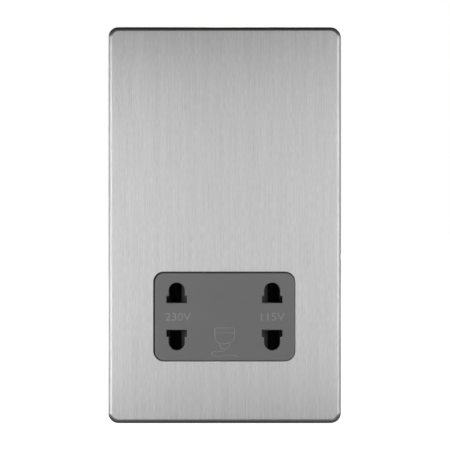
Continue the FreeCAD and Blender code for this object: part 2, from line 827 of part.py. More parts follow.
def clip_outline(side):
    """A folded clip seen from above: two leaves that pinch a pin and flare at the mouth."""
    x = side * d.outlet_offset
    mouth_y = pocket_y + d.strip
    pinch_y = deck_y + d.clip_pinch_depth
    waist_y = deck_y + d.clip_waist_depth
    outer, pinch, mouth, strip = d.clip_half, d.clip_pinch, d.clip_mouth, d.strip
    right = [(outer, carrier_rear_y), (outer, waist_y), (pinch + strip, pinch_y)]
    right += [(mouth + strip, mouth_y), (mouth, mouth_y), (pinch, pinch_y)]
    right += [(outer - strip, waist_y), (outer - strip, carrier_rear_y - strip)]
    left = [(-dx, y) for dx, y in right[::-1]]
    return outline([(x + dx, y) for dx, y in right + left])


def add_tag(body, name):
    x, z = tag_spots()[name]
    tag = rectangle(x - d.tag_half, x + d.tag_half, z - d.strip, z)
    add(body, "tag", "XZ_Plane", [tag], carrier_rear_y - d.strip, carrier_rear_y + d.tag_length)


def common_contact():
    body = new_body("common_contact", module_height)
    bridge_y = carrier_rear_y - d.strip
    add(body, "bridge", "XZ_Plane", [strip_outlines()[0]], bridge_y, carrier_rear_y)
    clips = [clip_outline(side) for side in (1, -1)]
    add(body, "clips", "XY_Plane", clips, d.clip_near, d.clip_far)
    add_tag(body, "common")


def outlet_contact(name, side):
    body = new_body("contact_" + name, module_height)
    add(body, "clip", "XY_Plane", [clip_outline(side)], -d.clip_far, -d.clip_near)
    riser = riser_outline(name)
    add(body, "riser", "XZ_Plane", [riser], carrier_rear_y - d.strip, carrier_rear_y)
    add_tag(body, name)


# Switch


def switch_case():
    body = new_body("switch_case", module_height)
    case = centred(d.switch_half_width, d.switch_half_height, 0.5)
    add(body, "case", "XZ_Plane", [case], switch_y, carrier_rear_y)
    hub = d.lever_hub + d.lever_play
    mouth = d.switch_half_width - d.strip
    fan = outline(
        [(-mouth, switch_y), (mouth, switch_y), (hub, pivot_y), (-hub, pivot_y)][::-1],
    )
    half = d.lever_thickness / 2 + d.lever_play
    cut(body, "fan", "XY_Plane", [fan], -half, half)
    cut(body, "hub_seat", "XY_Plane", [disc(0, pivot_y, hub)], -half, half)
    gap = d.switch_fit / 2
    slots = []
    for side in (1, -1):
        z = side * d.blade_rise
        half = d.blade_thickness / 2 + gap
        slots.append(rectangle(-d.blade_half - gap, d.blade_half + gap, z - half, z + half))
    cut(body, "blade_slots", "XZ_Plane", slots, carrier_rear_y - d.tag_length / 2, carrier_rear_y)


def switch_lever():
    body = new_body("switch_lever", module_height)
    half = d.lever_thickness / 2
    add(body, "hub", "XY_Plane", [disc(0, pivot_y, d.lever_hub)], -half, half)
    arm = rectangle(-d.lever_half, d.lever_half, ball_y, pivot_y)
    add(body, "arm", "XY_Plane", [arm], -half, half)
    add(body, "ball", "XY_Plane", [disc(0, ball_y, d.lever_ball)], -half, half)


def switch_terminals():
    blades = []
    start = (carrier_rear_y - d.tag_length / 2).value
    length = (d.tag_length * 1.5).value
    for side in (1, -1):
        corner = FreeCAD.Vector(
            -d.blade_half.value,
            start,
            (module_height + side * d.blade_rise - d.blade_thickness / 2).value,
        )
        blades.append(Part.makeBox(2 * d.blade_half.value, length, d.blade_thickness.value, corner))
    new_feature("switch_terminals", Part.makeCompound(blades))


# Transformer


def e_laminations():
    body = new_body("e_laminations")
    leg, low = d.core_leg, d.core_base
    top = core_top - leg
    inner = core_half_x - leg
    points = [(-core_half_x, low), (core_half_x, low), (core_half_x, top), (inner, top)]
    points += [(inner, low + leg), (centre_leg_half, low + leg), (centre_leg_half, top)]
    points += [(-centre_leg_half, top), (-centre_leg_half, low + leg), (-inner, low + leg)]
    points += [(-inner, top), (-core_half_x, top)]
    add(body, "stack", "XZ_Plane", [outline(points)], d.core_front, core_rear_y)


def i_laminations():
    body = new_body("i_laminations")
    bar = rectangle(-core_half_x, core_half_x, core_top - d.core_leg, core_top)
    add(body, "stack", "XZ_Plane", [bar], d.core_front, core_rear_y)


def around_leg(margin):
    """A rectangle round the centre leg, seen from above."""
    half = centre_leg_half + margin
    return rectangle(-half, half, d.core_front - margin, core_rear_y + margin)


window_low = d.core_base + d.core_leg
window_high = core_top - d.core_leg
flange_low = window_low + d.bobbin_fit
flange_high = window_high - d.bobbin_fit
flange_mid = (flange_low + flange_high) / 2
flange_reach_x = core_half_x - d.core_leg - d.bobbin_fit
flange_front = d.core_front - d.bobbin_fit - d.bobbin_flange
flange_rear = core_rear_y + d.bobbin_fit + d.bobbin_flange


def bobbin():
    body = new_body("bobbin")
    tube_margin = d.bobbin_fit + d.bobbin_wall
    add(body, "tube", "XY_Plane", [around_leg(tube_margin)], flange_low, flange_high)
    cheek = rectangle(-flange_reach_x, flange_reach_x, flange_front, flange_rear)
    wall = d.bobbin_wall
    add(body, "lower_flange", "XY_Plane", [cheek], flange_low, flange_low + wall)
    add(body, "middle_flange", "XY_Plane", [cheek], flange_mid - wall / 2, flange_mid + wall / 2)
    add(body, "upper_flange", "XY_Plane", [cheek], flange_high - wall, flange_high)
    cut(body, "leg_hole", "XY_Plane", [around_leg(d.bobbin_fit)], flange_low, flange_high)


def winding_outline(inset):
    """The outside of a winding seen from above, cut across at its corners."""
    reach = flange_reach_x - inset
    front, rear = flange_front + inset, flange_rear - inset
    corner = d.winding_corner
    points = [(-reach + corner, front), (reach - corner, front), (reach, front + corner)]
    points += [(reach, rear - corner), (reach - corner, rear), (-reach + corner, rear)]
    points += [(-reach, rear - corner), (-reach, front + corner)]
    return outline(points)


def winding(name, low, high):
    body = new_body(name)
    hole = around_leg(d.bobbin_fit + d.bobbin_wall)
    add(body, "turns", "XY_Plane", [winding_outline(d.winding_inset), hole], low, high)


def winding_tape(name, low, high):
    """One turn of tape round a winding."""
    body = new_body(name)
    outer, inner = winding_outline(d.winding_inset - d.tape), winding_outline(d.winding_inset)
    add(body, "band", "XY_Plane", [outer, inner], low, high)


def bobbin_pins():
    """Square pins: the outputs in front on the upper flange, the input behind on the lower one."""
    pins = []
    side = d.pin_side.value
    length = d.pin_length.value
    front = output_pin_y.value
    for x in (d.tag_common, d.tag_230, d.tag_115):
        pins.append(pin_at(x.value, front, flange_high.value, side, length))
    pins.append(pin_at(d.lead_side.value, input_pin_y.value, flange_low.value - length, side, length))
    new_feature("bobbin_pins", Part.makeCompound(pins))


def pin_at(x, y, z, side, length):
    return Part.makeBox(side, side, length, FreeCAD.Vector(x - side / 2, y - side / 2, z))


output_pin_y = flange_front + d.pin_depth
input_pin_y = flange_rear - d.pin_depth


def core_pads():
    """Soft pads between the frame's ribs and the core."""
    pads = []
    for side in (1, -1):
        low = FreeCAD.Vector(
            side * d.rib_offset.value - d.pad_width.value / 2,
            (d.core_front - d.pad_thickness).value,
            (d.core_base + d.rib_width).value,
        )
        height = (core_top - d.core_base - 2 * d.rib_width).value
        pads.append(Part.makeBox(d.pad_width.value, d.pad_thickness.value, height, low))
    new_feature("core_pads", Part.makeCompound(pads))


thermal_low = flange_low + 2 * d.bobbin_wall
thermal_rear_y = flange_front + d.winding_inset - d.tape


def thermal_cutout():
    body = new_body("thermal_cutout")
    half = d.cutout_body_width / 2
    case = rectangle(-half, half, thermal_low, thermal_low + d.cutout_body_height)
    add(body, "case", "XZ_Plane", [case], thermal_rear_y - d.cutout_body_thickness, thermal_rear_y)
    upright = lambda edge: edge.BoundBox.ZLength > 5 and edge.BoundBox.XLength < 0.1
    round_edges(body, "case_edges", d.cutout_body_thickness / 3, upright, "PartDesign::Chamfer")


# Rear housing and terminals


def rear_housing():
    body = new_body("rear_housing")
    wall = d.housing_wall
    outer = centred(housing_half_x, housing_half_z, d.housing_corner)
    add(body, "low_box", "XZ_Plane", [outer], web_rear_y, d.low_depth)
    deep = rounded(-housing_half_x, housing_half_x, d.step_height, housing_half_z, d.housing_corner)
    add(body, "deep_box", "XZ_Plane", [deep], d.low_depth, d.deep_depth)
    round_edges(body, "rear_bevel", d.housing_bevel, at_level(1, d.deep_depth), "PartDesign::Chamfer")
    corner = d.housing_corner - wall
    inner = centred(housing_half_x - wall, housing_half_z - wall, corner)
    cut(body, "low_room", "XZ_Plane", [inner], web_rear_y, low_inner_y)
    x, low, high = housing_half_x - wall, d.step_height + wall, housing_half_z - wall
    cut(body, "deep_room", "XZ_Plane", [rounded(-x, x, low, high, corner)], low_inner_y, deep_inner_y)
    tongue_y = web_rear_y - d.tongue_length
    add(body, "tongues", "XZ_Plane", tongue_outlines(), tongue_y, web_rear_y)
    half = d.boss_side / 2
    bosses = [rectangle(px - half, px + half, pz - half, pz + half) for px, pz in SCREW_SPOTS]
    boss_end = web_rear_y + d.boss_length
    add(body, "bosses", "XZ_Plane", bosses, web_rear_y, boss_end)
    pilots = [disc(px, pz, d.screw_radius + d.pilot_clearance) for px, pz in SCREW_SPOTS]
    cut(body, "pilots", "XZ_Plane", pilots, web_rear_y, boss_end - d.housing_wall)
    ribs = [rib_outline(side) for side in RIGHT_AND_LEFT]
    add(body, "core_ribs", "XZ_Plane", ribs, core_rear_y, deep_inner_y)
    stops = []
    for side in RIGHT_AND_LEFT:
        x0, x1 = across(side, d.rib_offset - d.rib_width / 2, d.rib_offset + d.rib_width / 2)
        stops.append(rectangle(x0, x1, low, d.core_base))
        stops.append(rectangle(x0, x1, core_top, high))
    add(body, "core_stops", "XZ_Plane", stops, low_inner_y, deep_inner_y)
    posts = []
    half = d.post_side / 2
    for side in RIGHT_AND_LEFT:
        for rise in (d.post_rise, -d.post_rise):
            px, pz = side * d.post_offset, module_height + rise
            posts.append(rectangle(px - half, px + half, pz - half, pz + half))
    add(body, "cover_posts", "XZ_Plane", posts, cover_rear_y, low_inner_y)
    vents = []
    for i in range(-3, 4):
        middle = i * d.vent_pitch
        z0 = d.vent_height - d.vent_length / 2
        vents.append(rectangle(middle - d.vent_width / 2, middle + d.vent_width / 2, z0, z0 + d.vent_length))
    cut(body, "vents", "XZ_Plane", vents, deep_inner_y, d.deep_depth)
    gap = d.slide_gap
    slots = [tail_outline(step, gap) for step in TERMINALS.values()]
    pegs = peg_outlines(d.block_peg_clearance)
    cut(body, "block_seat", "XZ_Plane", slots + pegs, low_inner_y, d.low_depth)


def tail_outline(step, grow=0.0):
    """The tail of a terminal where it passes inwards, seen from the rear."""
    x = step * d.terminal_pitch
    half = d.tail_thickness / 2 + grow
    return rectangle(x - d.tail_half - grow, x + d.tail_half + grow, terminal_mid - half, terminal_mid + half)


def peg_outlines(grow=0.0):
    """The square pegs that hold the terminal block in the housing."""
    half = d.block_peg_side / 2 + grow
    z = terminal_mid - d.terminal_length / 2
    middles = [side * 1.5 * d.terminal_pitch for side in RIGHT_AND_LEFT]
    return [rectangle(x - half, x + half, z - half, z + half) for x in middles]


def terminal_block():
    body = new_body("terminal_block")
    half_x = 1.5 * d.terminal_pitch + d.block_peg_side
    low = terminal_top - d.terminal_length - d.block_skirt
    high = terminal_top + d.block_stop
    add(body, "base", "XZ_Plane", [rectangle(-half_x, half_x, low, high)], d.low_depth, block_y)
    barriers = []
    for step in (-1.5, -0.5, 0.5, 1.5):
        x = step * d.terminal_pitch
        half = d.block_barrier / 2
        barriers.append(rectangle(x - half, x + half, low, high))
    add(body, "barriers", "XZ_Plane", barriers, block_y, block_y + d.block_barrier_height)
    stop_x = 1.5 * d.terminal_pitch
    stop = rectangle(-stop_x, stop_x, terminal_top, high)
    add(body, "stop_wall", "XZ_Plane", [stop], block_y, block_y + d.terminal_depth)
    add(body, "pegs", "XZ_Plane", peg_outlines(), low_inner_y, d.low_depth)
    slots = [tail_outline(step, d.slide_gap) for step in TERMINALS.values()]
    cut(body, "tail_slots", "XZ_Plane", slots, d.low_depth, block_y)


def terminal(name, step):
    body = new_body("terminal_" + name)
    x = step * d.terminal_pitch
    half = d.terminal_width / 2
    low = terminal_top - d.terminal_length
    top_y = block_y + d.terminal_depth
    add(body, "block", "XZ_Plane", [rectangle(x - half, x + half, low, terminal_top)], block_y, top_y)
    cut(body, "wire_bore", "XY_Plane", [disc(x, wire_y, d.wire_radius)], low, terminal_top)
    hole = disc(x, terminal_mid, d.terminal_screw_radius + d.block_peg_clearance)
    cut(body, "screw_hole", "XZ_Plane", [hole], wire_y, top_y)
    add(body, "tail", "XZ_Plane", [tail_outline(step)], tail_y, block_y)


def terminal_screws():
    """Slotted clamping screws, backed off until they clear the wire bores."""
    screws = []
    radius = d.terminal_screw_radius.value
    start = (wire_y + d.wire_radius + d.terminal_screw_gap).value
    end = (block_y + d.terminal_depth + d.terminal_screw_rise).value
    slot = radius / 2
    for step in TERMINALS.values():
        x = step * d.terminal_pitch.value
        spot = FreeCAD.Vector(x, start, terminal_mid.value)
        screw = Part.makeCylinder(radius, end - start, spot, FreeCAD.Vector(0, 1, 0))
        corner = FreeCAD.Vector(x - radius, end - slot, terminal_mid.value - slot / 2)
        screws.append(screw.cut(Part.makeBox(2 * radius, slot, slot, corner)))
    new_feature("terminal_screws", Part.makeCompound(screws))


def housing_screws():
    """Two screws from the frame's front into the housing's bosses."""
    screws = []
    along = FreeCAD.Vector(0, 1, 0)
    seat = (web_front_y + d.screw_recess_depth).value
    for x, z in SCREW_SPOTS:
        head_spot = FreeCAD.Vector(x.value, seat - d.screw_head_height.value, z.value)
        head = Part.makeCylinder(d.screw_head_radius.value, d.screw_head_height.value, head_spot, along)
        shank_spot = FreeCAD.Vector(x.value, seat, z.value)
        shank = Part.makeCylinder(d.screw_radius.value, d.screw_length.value, shank_spot, along)
        screws.append(head.fuse(shank))
    new_feature("housing_screws", Part.makeCompound(screws))


# Wiring


def earth_strap():
    body = new_body("earth_strap")
    thick = d.strap_thickness
    rear, top = tail_y, strap_height
    low = terminal_mid - d.strap_width / 2
    finger_top = top + d.strap_finger
    points = [(rear - thick, low), (rear, low), (rear, top), (sheet_y + thick, top)]
    points += [(sheet_y + thick, finger_top), (sheet_y, finger_top), (sheet_y, top - thick)]
    points += [(rear - thick, top - thick)]
    x = d.terminal_pitch
    add(body, "strip", "YZ_Plane", [outline(points)], x - d.strap_width / 2, x + d.strap_width / 2)


def lead(name, points):
    """A lead as straight runs whose bends are drawn in a few short steps."""
    spots = [FreeCAD.Vector(*(as_size(value).value for value in point)) for point in points]
    bend = d.lead_bend.value
    route = [spots[0]]
    for before, corner, after in zip(spots, spots[1:], spots[2:]):
        inward = (before - corner).normalize()
        outward = (after - corner).normalize()
        radius = min(bend, 0.45 * (before - corner).Length, 0.45 * (after - corner).Length)
        centre = corner + (inward + outward) * radius
        for i in range(BEND_STEPS + 1):
            angle = math.pi / 2 * i / BEND_STEPS
            route.append(centre - outward * radius * math.cos(angle) - inward * radius * math.sin(angle))
    route.append(spots[-1])
    path = Part.Wire(Part.makePolygon(route))
    radius = d.lead_radius.value
    shape = swept(path, route[0], route[1] - route[0], radius)
    wanted = FLATS / 2 * radius**2 * math.sin(2 * math.pi / FLATS) * path.Length
    if abs(shape.Volume - wanted) > 0.02 * wanted:
        raise ValueError(f"{name}: sweep has {shape.Volume:.1f}, not {wanted:.1f}")
    new_feature(name, shape)


def output_lead(name):
    """Down the front of the windings from its pin, then back over the carrier to its tag."""
    x, z = tag_spots()[name]
    tag_z = module_height + z
    joint_z = flange_high + d.pin_length / 2
    rear = carrier_rear_y + d.tag_length - d.lead_radius
    points = [(x, output_pin_y - d.pin_side / 2, joint_z), (x, d.lead_front, joint_z)]
    points += [(x, d.lead_front, d.lead_cross), (x, rear, d.lead_cross), (x, rear, tag_z)]
    lead("output_lead_" + name, points)


def supply_leads():
    run_y = tail_y - d.lead_radius
    blade = module_height + d.blade_rise
    live_x = -d.terminal_pitch
    tail_low = terminal_mid - d.tail_thickness / 2
    lower_blade = module_height - d.blade_rise
    blade_y = carrier_rear_y + d.tag_length - d.lead_radius
    points = [(live_x, blade_y, tail_low), (live_x, blade_y, lower_blade)]
    points += [(-d.blade_half, blade_y, lower_blade)]
    lead("live_lead", points)
    points = [(0, blade_y, blade + d.blade_thickness / 2), (0, blade_y, d.lead_cross)]
    points += [(0, d.lead_front, d.lead_cross), (0, d.lead_front, thermal_low)]
    lead("switched_lead", points)
    side = d.lead_side
    points = [(-d.tail_half, run_y, terminal_mid), (side, run_y, terminal_mid)]
    points += [(side, run_y, d.lead_cross), (side, input_pin_y, d.lead_cross)]
    points += [(side, input_pin_y, flange_low - d.pin_length)]
    lead("neutral_lead", points)


# Build


cover_plate()
mounting_frame()
wall_gasket()
socket_insert()
contact_carrier()
contact_cover()
interlock_slider()
centring_spring("centring_spring_right", 1)
centring_spring("centring_spring_left", -1)
common_contact()
outlet_contact("230", -1)
outlet_contact("115", 1)
switch_case()
switch_lever()
switch_terminals()
e_laminations()
i_laminations()
bobbin()
primary_span = (flange_low + d.bobbin_wall, flange_mid - d.bobbin_wall / 2)
secondary_span = (flange_mid + d.bobbin_wall / 2, flange_high - d.bobbin_wall)
winding("primary_winding", *primary_span)
winding("secondary_winding", *secondary_span)
winding_tape("primary_tape", *primary_span)
winding_tape("secondary_tape", *secondary_span)
bobbin_pins()
core_pads()
thermal_cutout()
rear_housing()
terminal_block()
for terminal_name, terminal_step in TERMINALS.items():
    terminal(terminal_name, terminal_step)
terminal_screws()
housing_screws()
earth_strap()
supply_leads()
for outlet in ("230", "115", "common"):
    output_lead(outlet)

doc.recompute()
for item in doc.Objects:
    if "Invalid" in item.State or "Error" in item.State:
        raise ValueError(f"{item.Label} did not build: {item.State}")
for node in nodes:
    if node.Shape.isNull() or not node.Shape.isValid():
        raise ValueError(f"{node.Label} has no valid shape")
for node in nodes:
    node.Shape.exportStep(f"parts/{node.Label}.step")
    print(node.Label, len(node.Shape.Solids), round(node.Shape.Volume, 1))
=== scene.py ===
import json
import math

import bmesh
import bpy
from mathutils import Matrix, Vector


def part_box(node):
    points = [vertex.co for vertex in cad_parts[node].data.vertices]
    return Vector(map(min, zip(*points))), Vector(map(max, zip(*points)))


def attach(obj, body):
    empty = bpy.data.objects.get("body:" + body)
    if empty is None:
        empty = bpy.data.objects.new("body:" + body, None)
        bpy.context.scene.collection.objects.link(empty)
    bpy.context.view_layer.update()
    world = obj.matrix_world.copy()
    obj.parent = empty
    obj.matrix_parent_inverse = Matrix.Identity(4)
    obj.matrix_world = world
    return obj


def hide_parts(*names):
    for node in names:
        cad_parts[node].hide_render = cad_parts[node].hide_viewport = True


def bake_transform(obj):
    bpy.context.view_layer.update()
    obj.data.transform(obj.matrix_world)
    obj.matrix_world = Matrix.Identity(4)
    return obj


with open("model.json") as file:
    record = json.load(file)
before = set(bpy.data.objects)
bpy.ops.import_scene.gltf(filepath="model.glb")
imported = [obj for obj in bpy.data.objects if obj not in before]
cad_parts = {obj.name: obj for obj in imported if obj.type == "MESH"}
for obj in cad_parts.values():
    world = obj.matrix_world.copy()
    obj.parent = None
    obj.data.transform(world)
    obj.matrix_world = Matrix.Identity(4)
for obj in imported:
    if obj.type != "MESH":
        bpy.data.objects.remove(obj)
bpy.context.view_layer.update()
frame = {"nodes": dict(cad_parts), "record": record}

bl_info = {
    "name": "Shaver socket looks",
    "version": (1, 0, 0),
    "blender": (4, 5, 0),
    "location": "3D View > Sidebar > Socket",
    "description": "Dresses the packed shaver socket with finished pieces and materials",
    "category": "Object",
}

MM = 0.001

PLATE_LOW, PLATE_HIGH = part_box("cover_plate")
INSERT_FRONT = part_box("socket_insert")[0].y
SLIDER_LOW, SLIDER_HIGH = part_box("interlock_slider")
SCREWS_LOW, SCREWS_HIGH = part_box("terminal_screws")
CONTACTS = ("common_contact", "contact_230", "contact_115")
# The height of the socket face's middle
MODULE_Z = (SLIDER_LOW.z + SLIDER_HIGH.z) / 2

# Levels closer than this count as the same, and faces that turn less than this as one flat
CLOSE = 1e-6
FLAT = math.radians(0.5)
# The share of Y in the direction of an edge along it, an edge across it and a face that looks back
ALONG_Y, ACROSS_Y, LOOKS_BACK = 0.999, 1e-3, 0.99
# The four quarters of the socket face: right or left, and upper or lower
QUARTERS = [(side, rise) for side in (1, -1) for rise in (1, -1)]


# Settings a user would change


class PlateSettings(bpy.types.PropertyGroup):
    corner: bpy.props.FloatProperty(
        name="Corner radius", description="Radius of the plate's corners", default=3.85 * MM,
        min=0.001, unit="LENGTH", precision=5,
    )
    bend: bpy.props.FloatProperty(
        name="Edge bend", description="Outer radius where the face turns into the skirt",
        default=1.7 * MM, min=0.0005, unit="LENGTH", precision=5,
    )
    sheet: bpy.props.FloatProperty(
        name="Sheet", description="Thickness of the sheet steel", default=1.0 * MM,
        min=0.0004, unit="LENGTH", precision=5,
    )
    opening_width: bpy.props.FloatProperty(
        name="Opening width", description="Width of the opening for the socket face",
        default=53.02 * MM, unit="LENGTH", precision=5,
    )
    opening_height: bpy.props.FloatProperty(
        name="Opening height", description="Height of the opening for the socket face",
        default=33.56 * MM, unit="LENGTH", precision=5,
    )
    opening_shift: bpy.props.FloatProperty(
        name="Opening shift", description="How far right of the middle the opening lies",
        default=-0.11 * MM, unit="LENGTH", precision=5,
    )
    opening_rise: bpy.props.FloatProperty(
        name="Opening rise", description="How far above the socket face's middle the opening lies",
        default=0.17 * MM, unit="LENGTH", precision=5,
    )
    opening_corner: bpy.props.FloatProperty(
        name="Opening corner", description="Corner radius of the opening", default=3.9 * MM,
        unit="LENGTH", precision=5,
    )
    colour: bpy.props.FloatVectorProperty(
        name="Steel", description="Base colour of the brushed steel", subtype="COLOR",
        default=(0.60, 0.60, 0.60), min=0, max=1,
    )
    roughness: bpy.props.FloatProperty(
        name="Roughness", description="Roughness of the brushed steel", subtype="FACTOR",
        default=0.37, min=0, max=1,
    )


class InsertSettings(bpy.types.PropertyGroup):
    corner: bpy.props.FloatProperty(
        name="Corner radius", description="Radius of the face's corners", default=3.6 * MM,
        unit="LENGTH", precision=5,
    )
    edge: bpy.props.FloatProperty(
        name="Edge radius", description="Rounding of the face's front edge", default=0.5 * MM,
        unit="LENGTH", precision=5,
    )
    lead_in: bpy.props.FloatProperty(
        name="Lead-in", description="Rounding at the mouth of each pin aperture",
        default=0.40 * MM, unit="LENGTH", precision=5,
    )
    dome: bpy.props.FloatProperty(
        name="Dome radius", description="Radius of the round part of a pin aperture",
        default=2.95 * MM, unit="LENGTH", precision=5,
    )
    slot: bpy.props.FloatProperty(
        name="Slot half width", description="Half the width of the flat part of a pin aperture",
        default=3.8 * MM, unit="LENGTH", precision=5,
    )
    colour: bpy.props.FloatVectorProperty(
        name="Moulding", description="Base colour of the socket face", subtype="COLOR",
        default=(0.247, 0.247, 0.248), min=0, max=1,
    )
    mark_colour: bpy.props.FloatVectorProperty(
        name="Markings", description="Base colour of the raised markings", subtype="COLOR",
        default=(0.36, 0.36, 0.362), min=0, max=1,
    )
    cap_height: bpy.props.FloatProperty(
        name="Number height", description="Height of the voltage numbers", default=3.0 * MM,
        unit="LENGTH", precision=5,
    )


class StageSettings(bpy.types.PropertyGroup):
    distance: bpy.props.FloatProperty(
        name="Camera distance", description="From the plate's face to the camera", default=0.70,
        unit="LENGTH",
    )
    side_light: bpy.props.FloatProperty(
        name="Side softboxes", description="Power of the softbox on the left in watts",
        default=0.76, min=0, unit="POWER",
    )
    near_light: bpy.props.FloatProperty(
        name="Near strips", description="Power of the strip light near the left side in watts",
        default=0.25, min=0, unit="POWER",
    )
    rear_light: bpy.props.FloatProperty(
        name="Rear softboxes", description="Power of the large softbox behind in watts",
        default=12.0, min=0, unit="POWER",
    )
    front_light: bpy.props.FloatProperty(
        name="Front softbox", description="Power of the softbox behind the camera in watts",
        default=0.22, min=0, unit="POWER",
    )
    low_light: bpy.props.FloatProperty(
        name="Low softbox",
        description="Power of the softbox that the steel mirrors when seen from above, in watts",
        default=0.5, min=0, unit="POWER",
    )
    surround: bpy.props.FloatProperty(
        name="Surround", description="Brightness of the room around the object", default=0.15, min=0,
    )


# Helpers for modelling by operators


def clear_selection():
    if bpy.context.object and bpy.context.object.mode != "OBJECT":
        bpy.ops.object.mode_set(mode="OBJECT")
    bpy.ops.object.select_all(action="DESELECT")


def make_active(obj):
    clear_selection()
    bpy.context.view_layer.objects.active = obj
    obj.select_set(True)
    return obj


def settle(obj):
    """Place, turn and scale go into the mesh, so that the object sits at the origin."""
    make_active(obj)
    bpy.ops.object.transform_apply(location=True, rotation=True, scale=True)
    return obj


def block(name, low, high):
    """A box between two corners."""
    clear_selection()
    low, high = Vector(low), Vector(high)
    bpy.ops.mesh.primitive_cube_add(size=1, location=(low + high) / 2, scale=high - low)
    obj = bpy.context.object
    obj.name = name
    return settle(obj)


def rod(name, centre, radius, length, sides):
    """A cylinder along Y about a centre."""
    clear_selection()
    bpy.ops.mesh.primitive_cylinder_add(
        vertices=sides, radius=radius, depth=length, location=centre, rotation=(math.pi / 2, 0, 0)
    )
    obj = bpy.context.object
    obj.name = name
    return settle(obj)


def pick(obj, kind, test):
    """Go into edit mode with only those faces or edges selected whose middle passes the test."""
    make_active(obj)
    bpy.ops.object.mode_set(mode="EDIT")
    bpy.ops.mesh.select_mode(type=kind)
    bpy.ops.mesh.select_all(action="DESELECT")
    mesh = bmesh.from_edit_mesh(obj.data)
    if kind == "FACE":
        chosen = [f for f in mesh.faces if test(f.calc_center_median(), f.normal)]
    else:
        chosen = [
            e for e in mesh.edges
            if test((e.verts[0].co + e.verts[1].co) / 2, (e.verts[1].co - e.verts[0].co).normalized())
        ]
    if not chosen:
        raise RuntimeError(f"{obj.name}: nothing to select")
    for item in chosen:
        item.select_set(True)
    mesh.select_flush_mode()
    bmesh.update_edit_mesh(obj.data)


def leave_edit():
    bpy.ops.object.mode_set(mode="OBJECT")


def round_rim(obj, level, radius, steps):
    """Bevel the edges that lie at one depth."""
    pick(obj, "EDGE", lambda middle, run: abs(middle.y - level) < CLOSE and abs(run.y) < ACROSS_Y)
    bpy.ops.mesh.bevel(offset=radius, segments=steps, affect="EDGES")
    leave_edit()


def rounded_block(name, low, high, corner, steps):
    """A box between two corners, with its edges along Y rounded."""
    obj = block(name, low, high)
    pick(obj, "EDGE", lambda middle, run: abs(run.y) > ALONG_Y)
    bpy.ops.mesh.bevel(offset=corner, segments=steps, affect="EDGES")
    leave_edit()
    return obj


def combine(obj, other, operation):
    """Cut another shape from a piece, or join it on, and drop the other shape."""
    make_active(obj)
    modifier = obj.modifiers.new(operation.lower(), "BOOLEAN")
    modifier.operation = operation
    modifier.solver = "EXACT"
    modifier.object = other
    bpy.ops.object.modifier_apply(modifier=modifier.name)
    bpy.data.objects.remove(other)
    return obj


def tidy_mesh(obj, angle=30.0):
    """Merge doubles, turn the faces outwards and smooth the gentle edges."""
    make_active(obj)
    bpy.ops.object.mode_set(mode="EDIT")
    bpy.ops.mesh.select_all(action="SELECT")
    bpy.ops.mesh.remove_doubles(threshold=2 * CLOSE)
    bpy.ops.mesh.dissolve_limited(angle_limit=FLAT)
    bpy.ops.mesh.normals_make_consistent(inside=False)
    leave_edit()
    bpy.ops.object.shade_smooth_by_angle(angle=math.radians(angle))
    return obj


def even_shading(obj):
    """Let the large flat faces set the shading at their edges."""
    make_active(obj)
    modifier = obj.modifiers.new("even", "WEIGHTED_NORMAL")
    modifier.keep_sharp = True
    modifier.weight = 80
    bpy.ops.object.modifier_apply(modifier=modifier.name)


def finish_piece(obj, body, slot, material, *nodes):
    """Give a piece its finish, its CAD body and the nodes that it stands for."""
    settle(obj)
    obj.data.materials.clear()
    obj.data.materials.append(material)
    if body:
        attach(obj, body)
    if nodes:
        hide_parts(*nodes)
    return obj


def copy_of(obj, name):
    """A copy with its own mesh."""
    twin = obj.copy()
    twin.data = obj.data.copy()
    twin.name = name
    bpy.context.scene.collection.objects.link(twin)
    return twin


# Helpers for materials

FINISH = "finish_"


def finish_named(name):
    return bpy.data.materials[FINISH + name]


